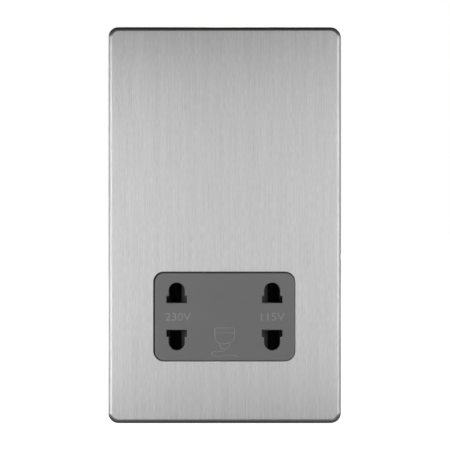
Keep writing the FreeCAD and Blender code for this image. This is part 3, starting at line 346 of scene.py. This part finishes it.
class Nodes:
    """The node tree of one new material."""

    def __init__(self, name):
        self.material = bpy.data.materials.new(FINISH + name)
        self.material.use_nodes = True
        self.tree = self.material.node_tree
        self.shader = self.tree.nodes["Principled BSDF"]
        self.place = self.add("ShaderNodeTexCoord").outputs["Object"]

    def add(self, kind, **values):
        node = self.tree.nodes.new(kind)
        for key, value in values.items():
            setattr(node, key, value)
        return node

    def link(self, source, target):
        self.tree.links.new(source, target)

    def set(self, **values):
        for key, value in values.items():
            self.shader.inputs[key.replace("_", " ")].default_value = value

    def mapped(self, scale):
        node = self.add("ShaderNodeMapping")
        node.inputs["Scale"].default_value = scale
        self.link(self.place, node.inputs["Vector"])
        return node.outputs["Vector"]

    def noise(self, scale, detail=2.0, roughness=0.5):
        node = self.add("ShaderNodeTexNoise")
        node.inputs["Scale"].default_value = 1.0
        node.inputs["Detail"].default_value = detail
        node.inputs["Roughness"].default_value = roughness
        self.link(self.mapped(scale), node.inputs["Vector"])
        return node.outputs["Fac"]

    def ranged(self, source, low, high, start=0.3, end=0.7):
        node = self.add("ShaderNodeMapRange")
        node.inputs["From Min"].default_value = start
        node.inputs["From Max"].default_value = end
        node.inputs["To Min"].default_value = low
        node.inputs["To Max"].default_value = high
        self.link(source, node.inputs["Value"])
        return node.outputs["Result"]

    def weighted(self, *parts):
        """The sum of several values, each with its share."""
        total = None
        for value, share in parts:
            step = self.add("ShaderNodeMath", operation="MULTIPLY_ADD")
            self.link(value, step.inputs[0])
            step.inputs[1].default_value = share
            step.inputs[2].default_value = 0.0
            if total is not None:
                self.link(total, step.inputs[2])
            total = step.outputs[0]
        return total

    def blend(self, factor, first, second):
        node = self.add("ShaderNodeMix", data_type="RGBA")
        self.link(factor, node.inputs["Factor"])
        for key, value in (("A", first), ("B", second)):
            socket = next(s for s in node.inputs if s.name == key and s.type == "RGBA")
            if isinstance(value, bpy.types.NodeSocket):
                self.link(value, socket)
            else:
                socket.default_value = (*value, 1.0)
        return next(s for s in node.outputs if s.type == "RGBA")

    def bump(self, height, depth, before=None):
        node = self.add("ShaderNodeBump")
        node.inputs["Strength"].default_value = 1.0
        node.inputs["Distance"].default_value = depth
        self.link(height, node.inputs["Height"])
        if before is not None:
            self.link(before, node.inputs["Normal"])
        return node.outputs["Normal"]

    def soft_edge(self, radius):
        node = self.add("ShaderNodeBevel", samples=4)
        node.inputs["Radius"].default_value = radius
        return node.outputs["Normal"]


def shade(colour, amount):
    """A colour made lighter or darker."""
    return tuple(min(1.0, max(0.0, c * amount)) for c in colour)


def moulded(name, colour, roughness, edge=0.25 * MM, tone=0.10):
    """Moulded plastic: a fine sparked texture, slight flow tones and softened edges."""
    n = Nodes(name)
    grain, depth = 0.35 * MM, 0.012 * MM
    fine = n.noise((1 / grain,) * 3, detail=3.0)
    broad = n.noise((55, 55, 90))
    n.link(n.blend(n.ranged(broad, 0, 1), shade(colour, 1 - tone), shade(colour, 1 + tone)),
           n.shader.inputs["Base Color"])
    n.link(n.ranged(fine, roughness - 0.05, roughness + 0.07), n.shader.inputs["Roughness"])
    normal = n.bump(fine, depth, before=n.soft_edge(edge) if edge else None)
    n.link(normal, n.shader.inputs["Normal"])
    n.set(Specular_IOR_Level=0.45)
    return n.material


def metal(name, colour, roughness):
    """Plain metal: fine drawn lines, a little colour change and softened edges."""
    n = Nodes(name)
    depth, edge, tone = 0.003 * MM, 0.15 * MM, 0.10
    lines = n.noise((900, 900, 120), detail=3.0)
    broad = n.noise((140, 140, 140))
    n.link(n.blend(n.ranged(broad, 0, 1), shade(colour, 1 - tone), shade(colour, 1 + tone)),
           n.shader.inputs["Base Color"])
    n.link(n.ranged(lines, roughness - 0.06, roughness + 0.08), n.shader.inputs["Roughness"])
    n.link(n.bump(lines, depth, before=n.soft_edge(edge)), n.shader.inputs["Normal"])
    n.set(Metallic=1.0)
    return n.material


def banded(name, first, second, pitch, axis, roughness, metallic=0.0, depth=0.04 * MM):
    """Fine repeated lines across one axis, as sheet edges, wire turns or wrapped tape show."""
    n = Nodes(name)
    wave = n.add("ShaderNodeTexWave", wave_type="BANDS", bands_direction=axis, wave_profile="SIN")
    wave.inputs["Scale"].default_value = 1.0
    wave.inputs["Distortion"].default_value = 0.25
    wave.inputs["Detail"].default_value = 1.0
    # A sine band of the wave texture repeats every pi / 10 of its vector
    scale = math.pi / (10 * pitch)
    n.link(n.mapped((scale,) * 3), wave.inputs["Vector"])
    lines = wave.outputs["Fac"]
    patches = n.noise((160, 160, 160))
    base = n.blend(n.ranged(lines, 0, 1, 0, 1), second, first)
    n.link(n.blend(n.ranged(patches, 0, 0.35), base, shade(first, 0.7)), n.shader.inputs["Base Color"])
    n.link(n.ranged(patches, roughness - 0.06, roughness + 0.06), n.shader.inputs["Roughness"])
    n.link(n.bump(lines, depth), n.shader.inputs["Normal"])
    n.set(Metallic=metallic)
    return n.material


def foam(name, colour):
    """Closed-cell foam with small pits."""
    n = Nodes(name)
    cells = n.add("ShaderNodeTexVoronoi", feature="F1")
    cells.inputs["Scale"].default_value = 1.0
    n.link(n.mapped((1600, 1600, 1600)), cells.inputs["Vector"])
    depth = cells.outputs["Distance"]
    n.link(n.blend(n.ranged(depth, 0, 1, 0, 0.8), shade(colour, 0.6), shade(colour, 1.3)),
           n.shader.inputs["Base Color"])
    n.link(n.ranged(depth, 0.8, 0.95, 0, 0.8), n.shader.inputs["Roughness"])
    n.link(n.bump(depth, 0.08 * MM), n.shader.inputs["Normal"])
    return n.material


def brushed_steel(name, colour, roughness):
    """Stainless sheet brushed along Z: fine streaks that spread the light sideways."""
    n = Nodes(name)
    fine = n.noise((5600, 5600, 50))
    short = n.noise((3200, 3200, 330))
    wide = n.noise((420, 420, 8), detail=3.0, roughness=0.6)
    streak = n.weighted((fine, 0.44), (short, 0.36), (wide, 0.20))
    # The stretch of the summed noise that runs from the darkest streak to the lightest
    spread = (0.38, 0.62)
    n.link(n.blend(n.ranged(streak, 0, 1, *spread), shade(colour, 0.87), shade(colour, 1.10)),
           n.shader.inputs["Base Color"])
    n.link(n.ranged(streak, roughness + 0.04, roughness - 0.04, *spread), n.shader.inputs["Roughness"])
    n.link(n.bump(fine, 0.0012 * MM), n.shader.inputs["Normal"])
    tangent = n.add("ShaderNodeTangent", direction_type="RADIAL", axis="Z")
    n.link(tangent.outputs["Tangent"], n.shader.inputs["Tangent"])
    n.set(Metallic=1.0, Anisotropic=0.85, Anisotropic_Rotation=0.0)
    return n.material


# Operators, one for each piece or group of like pieces


class SOCKET_OT_finishes(bpy.types.Operator):
    """Give every CAD node its procedural finish"""

    bl_idname = "socket.finishes"
    bl_label = "Finish the CAD nodes"

    def execute(self, context):
        plate = context.scene.socket_plate
        insert = context.scene.socket_insert
        finishes = {
            "plate_steel": brushed_steel("plate_steel", plate.colour[:], plate.roughness),
            "grey_moulding": moulded("grey_moulding", insert.colour[:], roughness=0.38, tone=0.02),
            "black_moulding": moulded("black_moulding", (0.032, 0.032, 0.033), roughness=0.42),
            "gasket_foam": foam("gasket_foam", (0.06, 0.06, 0.062)),
            "spring_steel": metal("spring_steel", (0.55, 0.55, 0.56), 0.22),
            "contact_brass": metal("contact_brass", (0.72, 0.50, 0.22), 0.28),
            "switch_moulding": moulded("switch_moulding", (0.28, 0.05, 0.035), roughness=0.4),
            "core_steel": banded("core_steel", (0.30, 0.29, 0.28), (0.10, 0.095, 0.09), 0.5 * MM, "Y",
                                 metallic=1.0, roughness=0.42),
            "bobbin_moulding": moulded("bobbin_moulding", (0.62, 0.60, 0.54), roughness=0.4),
            "tinned_pins": metal("tinned_pins", (0.72, 0.72, 0.72), 0.25),
            "copper_wire": banded("copper_wire", (0.50, 0.19, 0.07), (0.20, 0.06, 0.02), 0.3 * MM, "Z",
                                  metallic=0.6, roughness=0.3),
            "yellow_tape": banded("yellow_tape", (0.66, 0.44, 0.04), (0.50, 0.32, 0.03), 4 * MM, "Z",
                                  roughness=0.22, depth=0.02 * MM),
            "pad_rubber": foam("pad_rubber", (0.04, 0.04, 0.04)),
            "cutout_case": moulded("cutout_case", (0.70, 0.70, 0.66), roughness=0.3),
            "white_moulding": moulded("white_moulding", (0.66, 0.65, 0.62), roughness=0.42, tone=0.05),
            "zinc_screws": metal("zinc_screws", (0.62, 0.62, 0.64), 0.3),
            "earth_braid": metal("earth_braid", (0.70, 0.62, 0.50), 0.35),
            "brown_lead": moulded("brown_lead", (0.12, 0.045, 0.02), roughness=0.32),
            "blue_lead": moulded("blue_lead", (0.02, 0.08, 0.30), roughness=0.32),
            "white_lead": moulded("white_lead", (0.68, 0.68, 0.66), roughness=0.32),
        }
        # Painted shade: a near-black finish for the inside of the socket face, which is really the
        # same grey moulding; it stands in for the shade in the apertures and in the gap round the
        # face, and the face takes this finish when it is made
        moulded("painted_shade_recess", (0.06, 0.06, 0.06), roughness=0.55, tone=0.05)
        # Painted shade: the contacts' bronze is darkened far below the metal's own colour, to stand
        # for the shade deep inside the apertures
        shade_dark_bronze = metal("bronze_painted_shade", (0.17, 0.155, 0.135), 0.7)
        own = {name: shade_dark_bronze for name in CONTACTS}
        # Painted light: the slider's black moulding is lightened to a dark grey, so that its ends read
        # as lit deep inside the apertures
        own["interlock_slider"] = moulded("slider_painted_light", (0.12, 0.12, 0.122), roughness=0.45)
        for row in frame["record"]["subparts"]:
            node = frame["nodes"][row["node"]]
            node.data.materials.clear()
            node.data.materials.append(own.get(row["node"], finishes[row["material_slot"]]))
        return {"FINISHED"}


class SOCKET_OT_plate(bpy.types.Operator):
    """Make the pressed steel cover plate"""

    bl_idname = "socket.plate"
    bl_label = "Cover plate"

    def execute(self, context):
        s = context.scene.socket_plate
        front = PLATE_LOW.y
        shell = rounded_block("plate", PLATE_LOW, PLATE_HIGH, s.corner, steps=12)
        round_rim(shell, front, s.bend, steps=8)
        pick(shell, "FACE", lambda middle, normal: normal.y > LOOKS_BACK)
        bpy.ops.mesh.delete(type="FACE")
        leave_edit()
        wall = shell.modifiers.new("wall", "SOLIDIFY")
        wall.thickness = s.sheet
        wall.offset = -1
        wall.use_even_offset = True
        make_active(shell)
        bpy.ops.object.modifier_apply(modifier=wall.name)
        half = Vector((s.opening_width / 2, 0, s.opening_height / 2))
        middle = Vector((s.opening_shift, 0, MODULE_Z + s.opening_rise))
        low = middle - half
        high = middle + half
        before, behind = MM, 3 * MM
        low.y, high.y = front - before, front + behind
        opening = rounded_block("opening", low, high, s.opening_corner, steps=10)
        combine(shell, opening, "DIFFERENCE")
        notch_length, notch_depth = 2.6 * MM, 0.2 * MM
        notch_y, notch_z, notch_run = -3 * MM, -11.8 * MM, 8 * MM
        scoop = (notch_length ** 2 / 4 + notch_depth ** 2) / (2 * notch_depth)
        centre = (PLATE_HIGH.x - notch_depth + scoop, notch_y, notch_z)
        notch = rod("notch", centre, scoop, notch_run, sides=192)
        combine(shell, notch, "DIFFERENCE")
        tidy_mesh(shell)
        even_shading(shell)
        steel = finish_named("plate_steel")
        finish_piece(shell, "socket", "plate_steel", steel, "cover_plate")
        return {"FINISHED"}


def keyhole_cutter(s, side, rise):
    """The shape that cuts one pin aperture, with a rounded flare at its mouth."""
    reach, shift, lift = 17.78 * MM, -0.07 * MM, 0.19 * MM
    near, far, dome = 5.07 * MM, 7.55 * MM, 9.62 * MM
    proud, lap, depth, steps = 0.4 * MM, MM, 5 * MM, 4
    grow = s.lead_in
    front, ahead = INSERT_FRONT, INSERT_FRONT - proud
    half, radius = s.slot + grow, s.dome + grow
    cutter = block("cutter", (-half, ahead, near - grow), (half, front, far + grow))
    neck = block("neck", (-radius, ahead, far - lap), (radius, front, dome))
    combine(cutter, neck, "UNION")
    cap = rod("cap", (0, (ahead + front) / 2, dome), radius, front - ahead, sides=56)
    combine(cutter, cap, "UNION")
    make_active(cutter)
    bpy.ops.object.mode_set(mode="EDIT")
    bpy.ops.mesh.select_all(action="SELECT")
    bpy.ops.mesh.remove_doubles(threshold=CLOSE)
    bpy.ops.mesh.dissolve_limited(angle_limit=FLAT)
    leave_edit()
    pick(cutter, "FACE", lambda middle, normal: normal.y > LOOKS_BACK)
    for i in range(steps):
        a, b = (math.pi / 2 * k / steps for k in (i, i + 1))
        bpy.ops.mesh.inset(
            thickness=grow * (math.sin(b) - math.sin(a)),
            depth=grow * (math.cos(a) - math.cos(b)),
            use_even_offset=True,
        )
    bpy.ops.mesh.extrude_region_move(TRANSFORM_OT_translate={"value": (0, depth, 0)})
    leave_edit()
    if rise < 0:
        cutter.rotation_euler.y = math.pi
    cutter.location = (side * reach + shift, 0, MODULE_Z + lift)
    return settle(cutter)


class SOCKET_OT_insert(bpy.types.Operator):
    """Make the grey socket face with its four pin apertures"""

    bl_idname = "socket.insert"
    bl_label = "Socket face"

    def execute(self, context):
        s = context.scene.socket_insert
        front, web, rear = INSERT_FRONT, -3.0 * MM, -1.5 * MM
        half_x, half_z = 26.15 * MM, 16.4 * MM
        half_flange, flange_front = (29.7 * MM, 18 * MM), -4 * MM
        half_boss, boss_corner = (24.6 * MM, 13.9 * MM), MM
        half_hollow, wall = (13.1 * MM, 9.7 * MM), 2 * MM
        face_lap, boss_lap = 0.5 * MM, 0.4 * MM
        leg_rise = 9.0 * MM
        mouth_margin, shoulder_depth = 0.07 * MM, 0.7 * MM
        middle = Vector((0, 0, MODULE_Z))
        aside = Vector((0.1 * MM, 0, 0))

        def corners(half, y0, y1):
            x, z = half
            return middle + Vector((-x, y0, -z)), middle + Vector((x, y1, z))

        low, high = corners((half_x, half_z), front, web - face_lap)
        face = rounded_block("face", low + aside, high + aside, s.corner, steps=10)
        round_rim(face, front, s.edge, steps=6)
        flange = rounded_block("flange", *corners(half_flange, flange_front, web), s.corner, steps=6)
        combine(face, flange, "UNION")
        boss = rounded_block("boss", *corners(half_boss, web - boss_lap, rear), boss_corner, steps=5)
        combine(face, boss, "UNION")
        hollow = block("hollow", *corners(half_hollow, front + wall, rear + MM))
        combine(face, hollow, "DIFFERENCE")
        for side, rise in QUARTERS:
            combine(face, keyhole_cutter(s, side, rise), "DIFFERENCE")
        for side, rise in QUARTERS:
            combine(face, snap_leg(side, MODULE_Z + rise * leg_rise, web), "UNION")
        tidy_mesh(face)
        face.name = "insert"
        # Painted shade, dark from just inside the apertures' mouths, and round the outside from the
        # shoulder back, where the grey moulding lies in shade
        mouth, shoulder = front + s.lead_in + mouth_margin, front + shoulder_depth
        split_at(face, mouth)
        split_at(face, shoulder)
        even_shading(face)
        grey = finish_named("grey_moulding")
        finish_piece(face, "socket", "grey_moulding", grey, "socket_insert")
        # The second finish is painted shade on the same grey moulding
        face.data.materials.append(finish_named("painted_shade_recess"))
        margin = 2 * MM
        for polygon in face.data.polygons:
            place = polygon.center
            inside = abs(place.z - MODULE_Z) < half_z - margin and abs(place.x) < half_x - margin
            level = mouth if inside else shoulder
            polygon.material_index = int(place.y > level + CLOSE)
        return {"FINISHED"}


def split_at(obj, level):
    """Cut a line round a piece at one depth, so that its two sides can differ."""
    make_active(obj)
    bpy.ops.object.mode_set(mode="EDIT")
    bpy.ops.mesh.select_all(action="SELECT")
    bpy.ops.mesh.bisect(plane_co=(0, level, 0), plane_no=(0, 1, 0))
    leave_edit()


def snap_leg(side, z, web):
    """A snap leg behind the flange, with a ramped barb."""
    inner, outer, tip = 28.4 * MM, 29.6 * MM, 30.3 * MM
    barb_front, barb_rear = -0.9 * MM, 0.4 * MM
    half, lap, root, ramp = 2.5 * MM, 0.4 * MM, 0.5 * MM, 0.65 * MM
    leg = block("leg", (inner, web - lap, z - half), (outer, barb_rear, z + half))
    barb = block("barb", (outer - root, barb_front, z - half), (tip, barb_rear, z + half))
    pick(barb, "EDGE", lambda middle, run: middle.x > tip - CLOSE and middle.y > barb_rear - CLOSE)
    bpy.ops.mesh.bevel(offset=ramp, segments=1, affect="EDGES")
    leave_edit()
    combine(leg, barb, "UNION")
    if side < 0:
        leg.scale.x = -1
        settle(leg)
        bpy.ops.object.mode_set(mode="EDIT")
        bpy.ops.mesh.select_all(action="SELECT")
        bpy.ops.mesh.normals_make_consistent(inside=False)
        leave_edit()
    return leg


class SOCKET_OT_markings(bpy.types.Operator):
    """Make the raised voltage numbers and the shaver sign on the socket face"""

    bl_idname = "socket.markings"
    bl_label = "Markings"

    def execute(self, context):
        s = context.scene.socket_insert
        print_tone = moulded("mark_moulding", s.mark_colour[:], roughness=0.38, edge=0)
        half_thickness, boldness, lift = 0.03 * MM, 0.012, 0.1 * MM
        for name, word, x, width in (
            ("number_left", "230V", -17.3 * MM, 9.6 * MM),
            ("number_right", "115V", 18.0 * MM, 9.0 * MM),
        ):
            clear_selection()
            bpy.ops.object.text_add(location=(0, 0, 0))
            text = bpy.context.object
            text.data.body = word
            text.data.align_x = "CENTER"
            text.data.align_y = "CENTER"
            text.data.extrude = half_thickness
            text.data.offset = boldness
            text.data.resolution_u = 6
            bpy.ops.object.convert(target="MESH")
            text = bpy.context.object
            text.name = name
            size = text.dimensions
            text.scale = (width / size.x, s.cap_height / size.y, 1)
            settle(text)
            text.rotation_euler.x = math.pi / 2
            settle(text)
            low = Vector(text.bound_box[0])
            high = Vector(text.bound_box[6])
            centre = (low + high) / 2
            text.location = (x - centre.x, INSERT_FRONT - centre.y, MODULE_Z + lift - centre.z)
            finish_piece(text, "socket", "grey_moulding", print_tone)
        finish_piece(shaver_sign(), "socket", "grey_moulding", print_tone)
        return {"FINISHED"}


def line_piece(name, points):
    """A flat raised line along points on the face, given in millimetres from its middle."""
    width, flatness = 0.44 * MM, 0.18
    clear_selection()
    bpy.ops.curve.primitive_bezier_curve_add(location=(0, 0, 0))
    curve = bpy.context.object
    curve.name = name
    data = curve.data
    data.splines.clear()
    spline = data.splines.new("NURBS")
    spline.points.add(len(points) - 1)
    for point, (x, z) in zip(spline.points, points):
        point.co = (x * MM, INSERT_FRONT, z * MM + MODULE_Z, 1)
    spline.order_u = 3
    spline.use_endpoint_u = True
    data.resolution_u = 8
    data.bevel_depth = width / 2
    data.bevel_resolution = 1
    data.use_fill_caps = True
    bpy.ops.object.convert(target="MESH")
    line = bpy.context.object
    line.scale.y = flatness
    line.location.y = INSERT_FRONT * (1 - flatness)
    return settle(line)


def even_outline(left):
    """Points from the left to the middle, and the same ones mirrored on to the right."""
    return left + [(-x, z) for x, z in reversed(left[:-1])]


def shaver_sign():
    """A plain outline of a shaver with a round head, and a wavy lead under it."""
    body = even_outline([(-1.8, -9.6), (-1.8, -10.5), (-1.3, -11.7), (0.0, -12.0)])
    head = even_outline([(-3.6, -4.2), (-3.8, -7.1), (-3.1, -9.5), (0.0, -10.1)])
    foil = even_outline([(-3.6, -4.2), (0.0, -3.9)])
    band = even_outline([(-3.7, -6.0), (0.0, -5.8)])
    lead = [
        (0.0, -12.0), (0.0, -13.2), (-2.6, -12.6), (-5.6, -13.4), (-3.2, -15.2), (1.4, -14.0),
        (5.2, -14.7),
    ]
    pieces = [
        line_piece(f"sign_{i}", points) for i, points in enumerate((body, head, foil, band, lead))
    ]
    make_active(pieces[0])
    for piece in pieces[1:]:
        piece.select_set(True)
    bpy.ops.object.join()
    sign = bpy.context.object
    sign.name = "shaver_sign"
    return sign


class SOCKET_OT_springs(bpy.types.Operator):
    """Wind the two centring springs from round wire"""

    bl_idname = "socket.springs"
    bl_label = "Centring springs"

    def execute(self, context):
        wire, turns, radius = 0.22 * MM, 6, 1.48 * MM
        spring_y = (SLIDER_LOW.y + SLIDER_HIGH.y) / 2
        steel = finish_named("spring_steel")
        for side, word in ((1, "right"), (-1, "left")):
            node = f"centring_spring_{word}"
            low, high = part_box(node)
            start, end = (low.x, high.x) if side > 0 else (high.x, low.x)
            start += side * wire
            end -= side * wire
            clear_selection()
            spring = wound(f"spring_{word}", start, end, spring_y, radius, wire, turns)
            tidy_mesh(spring, 60)
            finish_piece(spring, None, "spring_steel", steel, node)
            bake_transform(spring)
        return {"FINISHED"}


def wound(name, start, end, y, radius, wire, turns):
    """A coil along X between start and end, whose turns lie a little closer at its ends."""
    bpy.ops.curve.primitive_nurbs_path_add(location=(0, 0, 0))
    coil = bpy.context.object
    coil.name = name
    data = coil.data
    data.splines.clear()
    per_turn, unevenness = 12, 0.12
    count = turns * per_turn + 1
    # The spline runs inside its points, so they stand a little further out
    reach = radius / math.cos(math.pi / per_turn) ** 0.5
    spline = data.splines.new("NURBS")
    spline.points.add(count - 1)
    for i, point in enumerate(spline.points):
        share = i / (count - 1)
        angle = 2 * math.pi * i / per_turn
        lay = (share - 0.5) * (1.0 - unevenness * math.cos(2 * math.pi * share)) + 0.5
        point.co = (
            start + (end - start) * min(1.0, max(0.0, lay)),
            y + reach * math.cos(angle),
            MODULE_Z + reach * math.sin(angle),
            1,
        )
    spline.order_u = 4
    spline.use_endpoint_u = True
    data.resolution_u = 3
    data.bevel_depth = wire
    data.bevel_resolution = 3
    data.use_fill_caps = True
    bpy.ops.object.convert(target="MESH")
    return bpy.context.object


class SOCKET_OT_screws(bpy.types.Operator):
    """Make the slotted terminal screws"""

    bl_idname = "socket.screws"
    bl_label = "Terminal screws"

    def execute(self, context):
        middle_z = (SCREWS_LOW.z + SCREWS_HIGH.z) / 2
        radius = (SCREWS_HIGH.z - SCREWS_LOW.z) / 2
        top, bottom = SCREWS_HIGH.y, SCREWS_LOW.y
        crown, point = 0.28 * MM, 0.4 * MM
        thread_start, thread_pitch, grooves = 0.55 * MM, 0.6 * MM, 5
        slot_depth, slot_half = 1.0 * MM, 0.4 * MM
        spacing = 10 * MM
        screw = rod("screw", (0, (top + bottom) / 2, middle_z), radius, top - bottom, sides=48)
        round_rim(screw, top, crown, steps=4)
        round_rim(screw, bottom, point, steps=2)
        for i in range(grooves):
            level = top - thread_start - i * thread_pitch
            combine(screw, thread_groove(level, middle_z, radius, thread_pitch), "DIFFERENCE")
        slot = block(
            "slot", (-2 * radius, top - slot_depth, -slot_half), (2 * radius, top + MM, slot_half)
        )
        slot.location.z = middle_z
        settle(slot)
        combine(screw, slot, "DIFFERENCE")
        tidy_mesh(screw)
        zinc = finish_named("zinc_screws")
        turns = (math.radians(14), math.radians(-32), math.radians(71))
        for i, (step, turn) in enumerate(zip((-1, 0, 1), turns)):
            piece = copy_of(screw, f"terminal_screw_{i + 1}")
            piece.location = (0, 0, -middle_z)
            settle(piece)
            piece.rotation_euler.y = turn
            settle(piece)
            piece.location = (step * spacing, 0, middle_z)
            # The node holds all three screws, so the first stands for it
            nodes = ("terminal_screws",) if i == 0 else ()
            finish_piece(piece, "socket", "zinc_screws", zinc, *nodes)
        bpy.data.objects.remove(screw)
        return {"FINISHED"}


def thread_groove(level, z, radius, pitch):
    """A ring with a V section that cuts one groove round a screw."""
    proud, section = 0.06 * MM, 0.36
    clear_selection()
    bpy.ops.mesh.primitive_torus_add(
        align="WORLD", location=(0, level, z), rotation=(math.pi / 2, 0, 0),
        major_segments=48, minor_segments=4,
        major_radius=radius + proud, minor_radius=pitch * section,
    )
    ring = bpy.context.object
    ring.name = "groove"
    return settle(ring)


class SOCKET_OT_stage(bpy.types.Operator):
    """Set up the floor, the lights and the camera"""

    bl_idname = "socket.stage"
    bl_label = "Stage"

    def execute(self, context):
        s = context.scene.socket_stage
        make_floor()
        make_world(s.surround)
        for name, place, size, power in (
            ("softbox_left", (-0.72, -0.70, -0.045), (1.25, 0.45), s.side_light),
            ("softbox_right", (0.72, -0.70, -0.02), (1.25, 0.45), s.side_light * 0.94),
            ("near_left", (-0.19, -0.20, -0.010), (0.21, 0.22), s.near_light),
            ("near_right", (0.19, -0.20, 0.004), (0.21, 0.22), s.near_light * 0.78),
            ("softbox_front", (0.0, -1.35, 0.0), (0.7, 0.40), s.front_light),
            ("rim_left", (-0.9, 0.45, 0.0), (0.7, 0.5), s.rear_light * 0.04),
            ("rim_right", (0.9, 0.45, 0.0), (0.7, 0.5), s.rear_light * 0.04),
            ("softbox_back", (0.55, 1.4, 0.75), (1.2, 0.8), s.rear_light),
            ("fill_back", (-1.0, 1.1, 0.1), (0.8, 0.8), s.rear_light * 0.35),
        ):
            softbox(name, place, size, power)
        # This light shows only in reflections
        low = softbox("softbox_low", (0.0, -0.56, -0.72), (1.5, 0.9), s.low_light)
        low.visible_diffuse = False
        context.scene.view_settings.view_transform = "Standard"
        clear_selection()
        aim_x, aim_z = 0.15 * MM, 0.04 * MM
        photo_pixels, pixel = 450, 0.3729 * MM
        sensor = 36.0
        bpy.ops.object.camera_add(
            location=(aim_x, PLATE_LOW.y - s.distance, aim_z), rotation=(math.pi / 2, 0, 0)
        )
        camera = bpy.context.object
        camera.name = "photo_camera"
        camera.data.sensor_width = sensor
        camera.data.lens = sensor * s.distance / (photo_pixels * pixel)
        camera.data.clip_start = 0.01
        camera.data.dof.use_dof = False
        context.scene.camera = camera
        return {"FINISHED"}


def make_floor():
    """A plain pale floor that the plate stands just above."""
    clear_selection()
    gap, side = 0.3 * MM, 30
    bpy.ops.mesh.primitive_plane_add(size=side, location=(0, 0, PLATE_LOW.z - gap))
    floor = bpy.context.object
    floor.name = "floor"
    n = Nodes("floor_paper")
    tone = n.noise((3, 3, 3))
    n.link(n.blend(n.ranged(tone, 0, 1), (0.86, 0.86, 0.86), (0.89, 0.89, 0.89)),
           n.shader.inputs["Base Color"])
    n.set(Roughness=0.9)
    n.shader.inputs["Emission Color"].default_value = (1, 1, 1, 1)
    n.shader.inputs["Emission Strength"].default_value = 0.97
    floor.data.materials.append(n.material)
    floor.visible_glossy = False
    floor.visible_diffuse = False
    floor.visible_shadow = False


def make_world(surround):
    """White behind the object, and a dimmer room round it that is darker above and below."""
    fall_start, fall_end, darkest = 0.25, 0.95, 0.12
    world = bpy.data.worlds.new("room")
    bpy.context.scene.world = world
    world.use_nodes = True
    tree = world.node_tree
    tree.nodes.clear()
    out = tree.nodes.new("ShaderNodeOutputWorld")
    mix = tree.nodes.new("ShaderNodeMixShader")
    path = tree.nodes.new("ShaderNodeLightPath")
    seen, room = (tree.nodes.new("ShaderNodeBackground") for _ in range(2))
    seen.inputs["Color"].default_value = (1, 1, 1, 1)
    seen.inputs["Strength"].default_value = 1.0
    room.inputs["Strength"].default_value = surround
    place = tree.nodes.new("ShaderNodeTexCoord")
    height = tree.nodes.new("ShaderNodeSeparateXYZ")
    level = tree.nodes.new("ShaderNodeMath")
    level.operation = "ABSOLUTE"
    fall = tree.nodes.new("ShaderNodeMapRange")
    fall.inputs["From Min"].default_value = fall_start
    fall.inputs["From Max"].default_value = fall_end
    fall.inputs["To Min"].default_value = 1.0
    fall.inputs["To Max"].default_value = darkest
    tree.links.new(place.outputs["Generated"], height.inputs["Vector"])
    tree.links.new(height.outputs["Z"], level.inputs[0])
    tree.links.new(level.outputs[0], fall.inputs["Value"])
    tree.links.new(fall.outputs["Result"], room.inputs["Color"])
    tree.links.new(path.outputs["Is Camera Ray"], mix.inputs["Fac"])
    tree.links.new(room.outputs["Background"], mix.inputs[1])
    tree.links.new(seen.outputs["Background"], mix.inputs[2])
    tree.links.new(mix.outputs["Shader"], out.inputs["Surface"])


def softbox(name, place, size, power):
    """A rectangular light aimed at the middle of the plate."""
    clear_selection()
    aim = (Vector((0, 0, 0)) - Vector(place)).to_track_quat("-Z", "Y").to_euler()
    bpy.ops.object.light_add(type="AREA", location=place, rotation=aim)
    light = bpy.context.object
    light.name = name
    light.data.shape = "RECTANGLE"
    light.data.size, light.data.size_y = size
    light.data.energy = power
    return light


class SOCKET_PT_panel(bpy.types.Panel):
    """Sizes, colours and steps of the shaver socket"""

    bl_idname = "SOCKET_PT_panel"
    bl_label = "Shaver socket"
    bl_space_type = "VIEW_3D"
    bl_region_type = "UI"
    bl_category = "Socket"

    def draw(self, context):
        for title, group in (
            ("Plate", context.scene.socket_plate),
            ("Socket face", context.scene.socket_insert),
            ("Stage", context.scene.socket_stage),
        ):
            box = self.layout.box()
            box.label(text=title)
            for name in group.__annotations__:
                box.prop(group, name)
        for step in STEPS:
            self.layout.operator(step.bl_idname)


STEPS = (
    SOCKET_OT_finishes,
    SOCKET_OT_plate,
    SOCKET_OT_insert,
    SOCKET_OT_markings,
    SOCKET_OT_springs,
    SOCKET_OT_screws,
    SOCKET_OT_stage,
)
GROUPS = {
    "socket_plate": PlateSettings,
    "socket_insert": InsertSettings,
    "socket_stage": StageSettings,
}


def register():
    for name, group in GROUPS.items():
        bpy.utils.register_class(group)
        setattr(bpy.types.Scene, name, bpy.props.PointerProperty(type=group))
    for step in STEPS:
        bpy.utils.register_class(step)
    bpy.utils.register_class(SOCKET_PT_panel)


def unregister():
    bpy.utils.unregister_class(SOCKET_PT_panel)
    for step in reversed(STEPS):
        bpy.utils.unregister_class(step)
    for name, group in GROUPS.items():
        delattr(bpy.types.Scene, name)
        bpy.utils.unregister_class(group)


def main():
    register()
    for step in STEPS:
        folder, name = step.bl_idname.split(".")
        getattr(getattr(bpy.ops, folder), name)()
    clear_selection()
    bpy.context.view_layer.update()


if __name__ == "__main__":
    main()
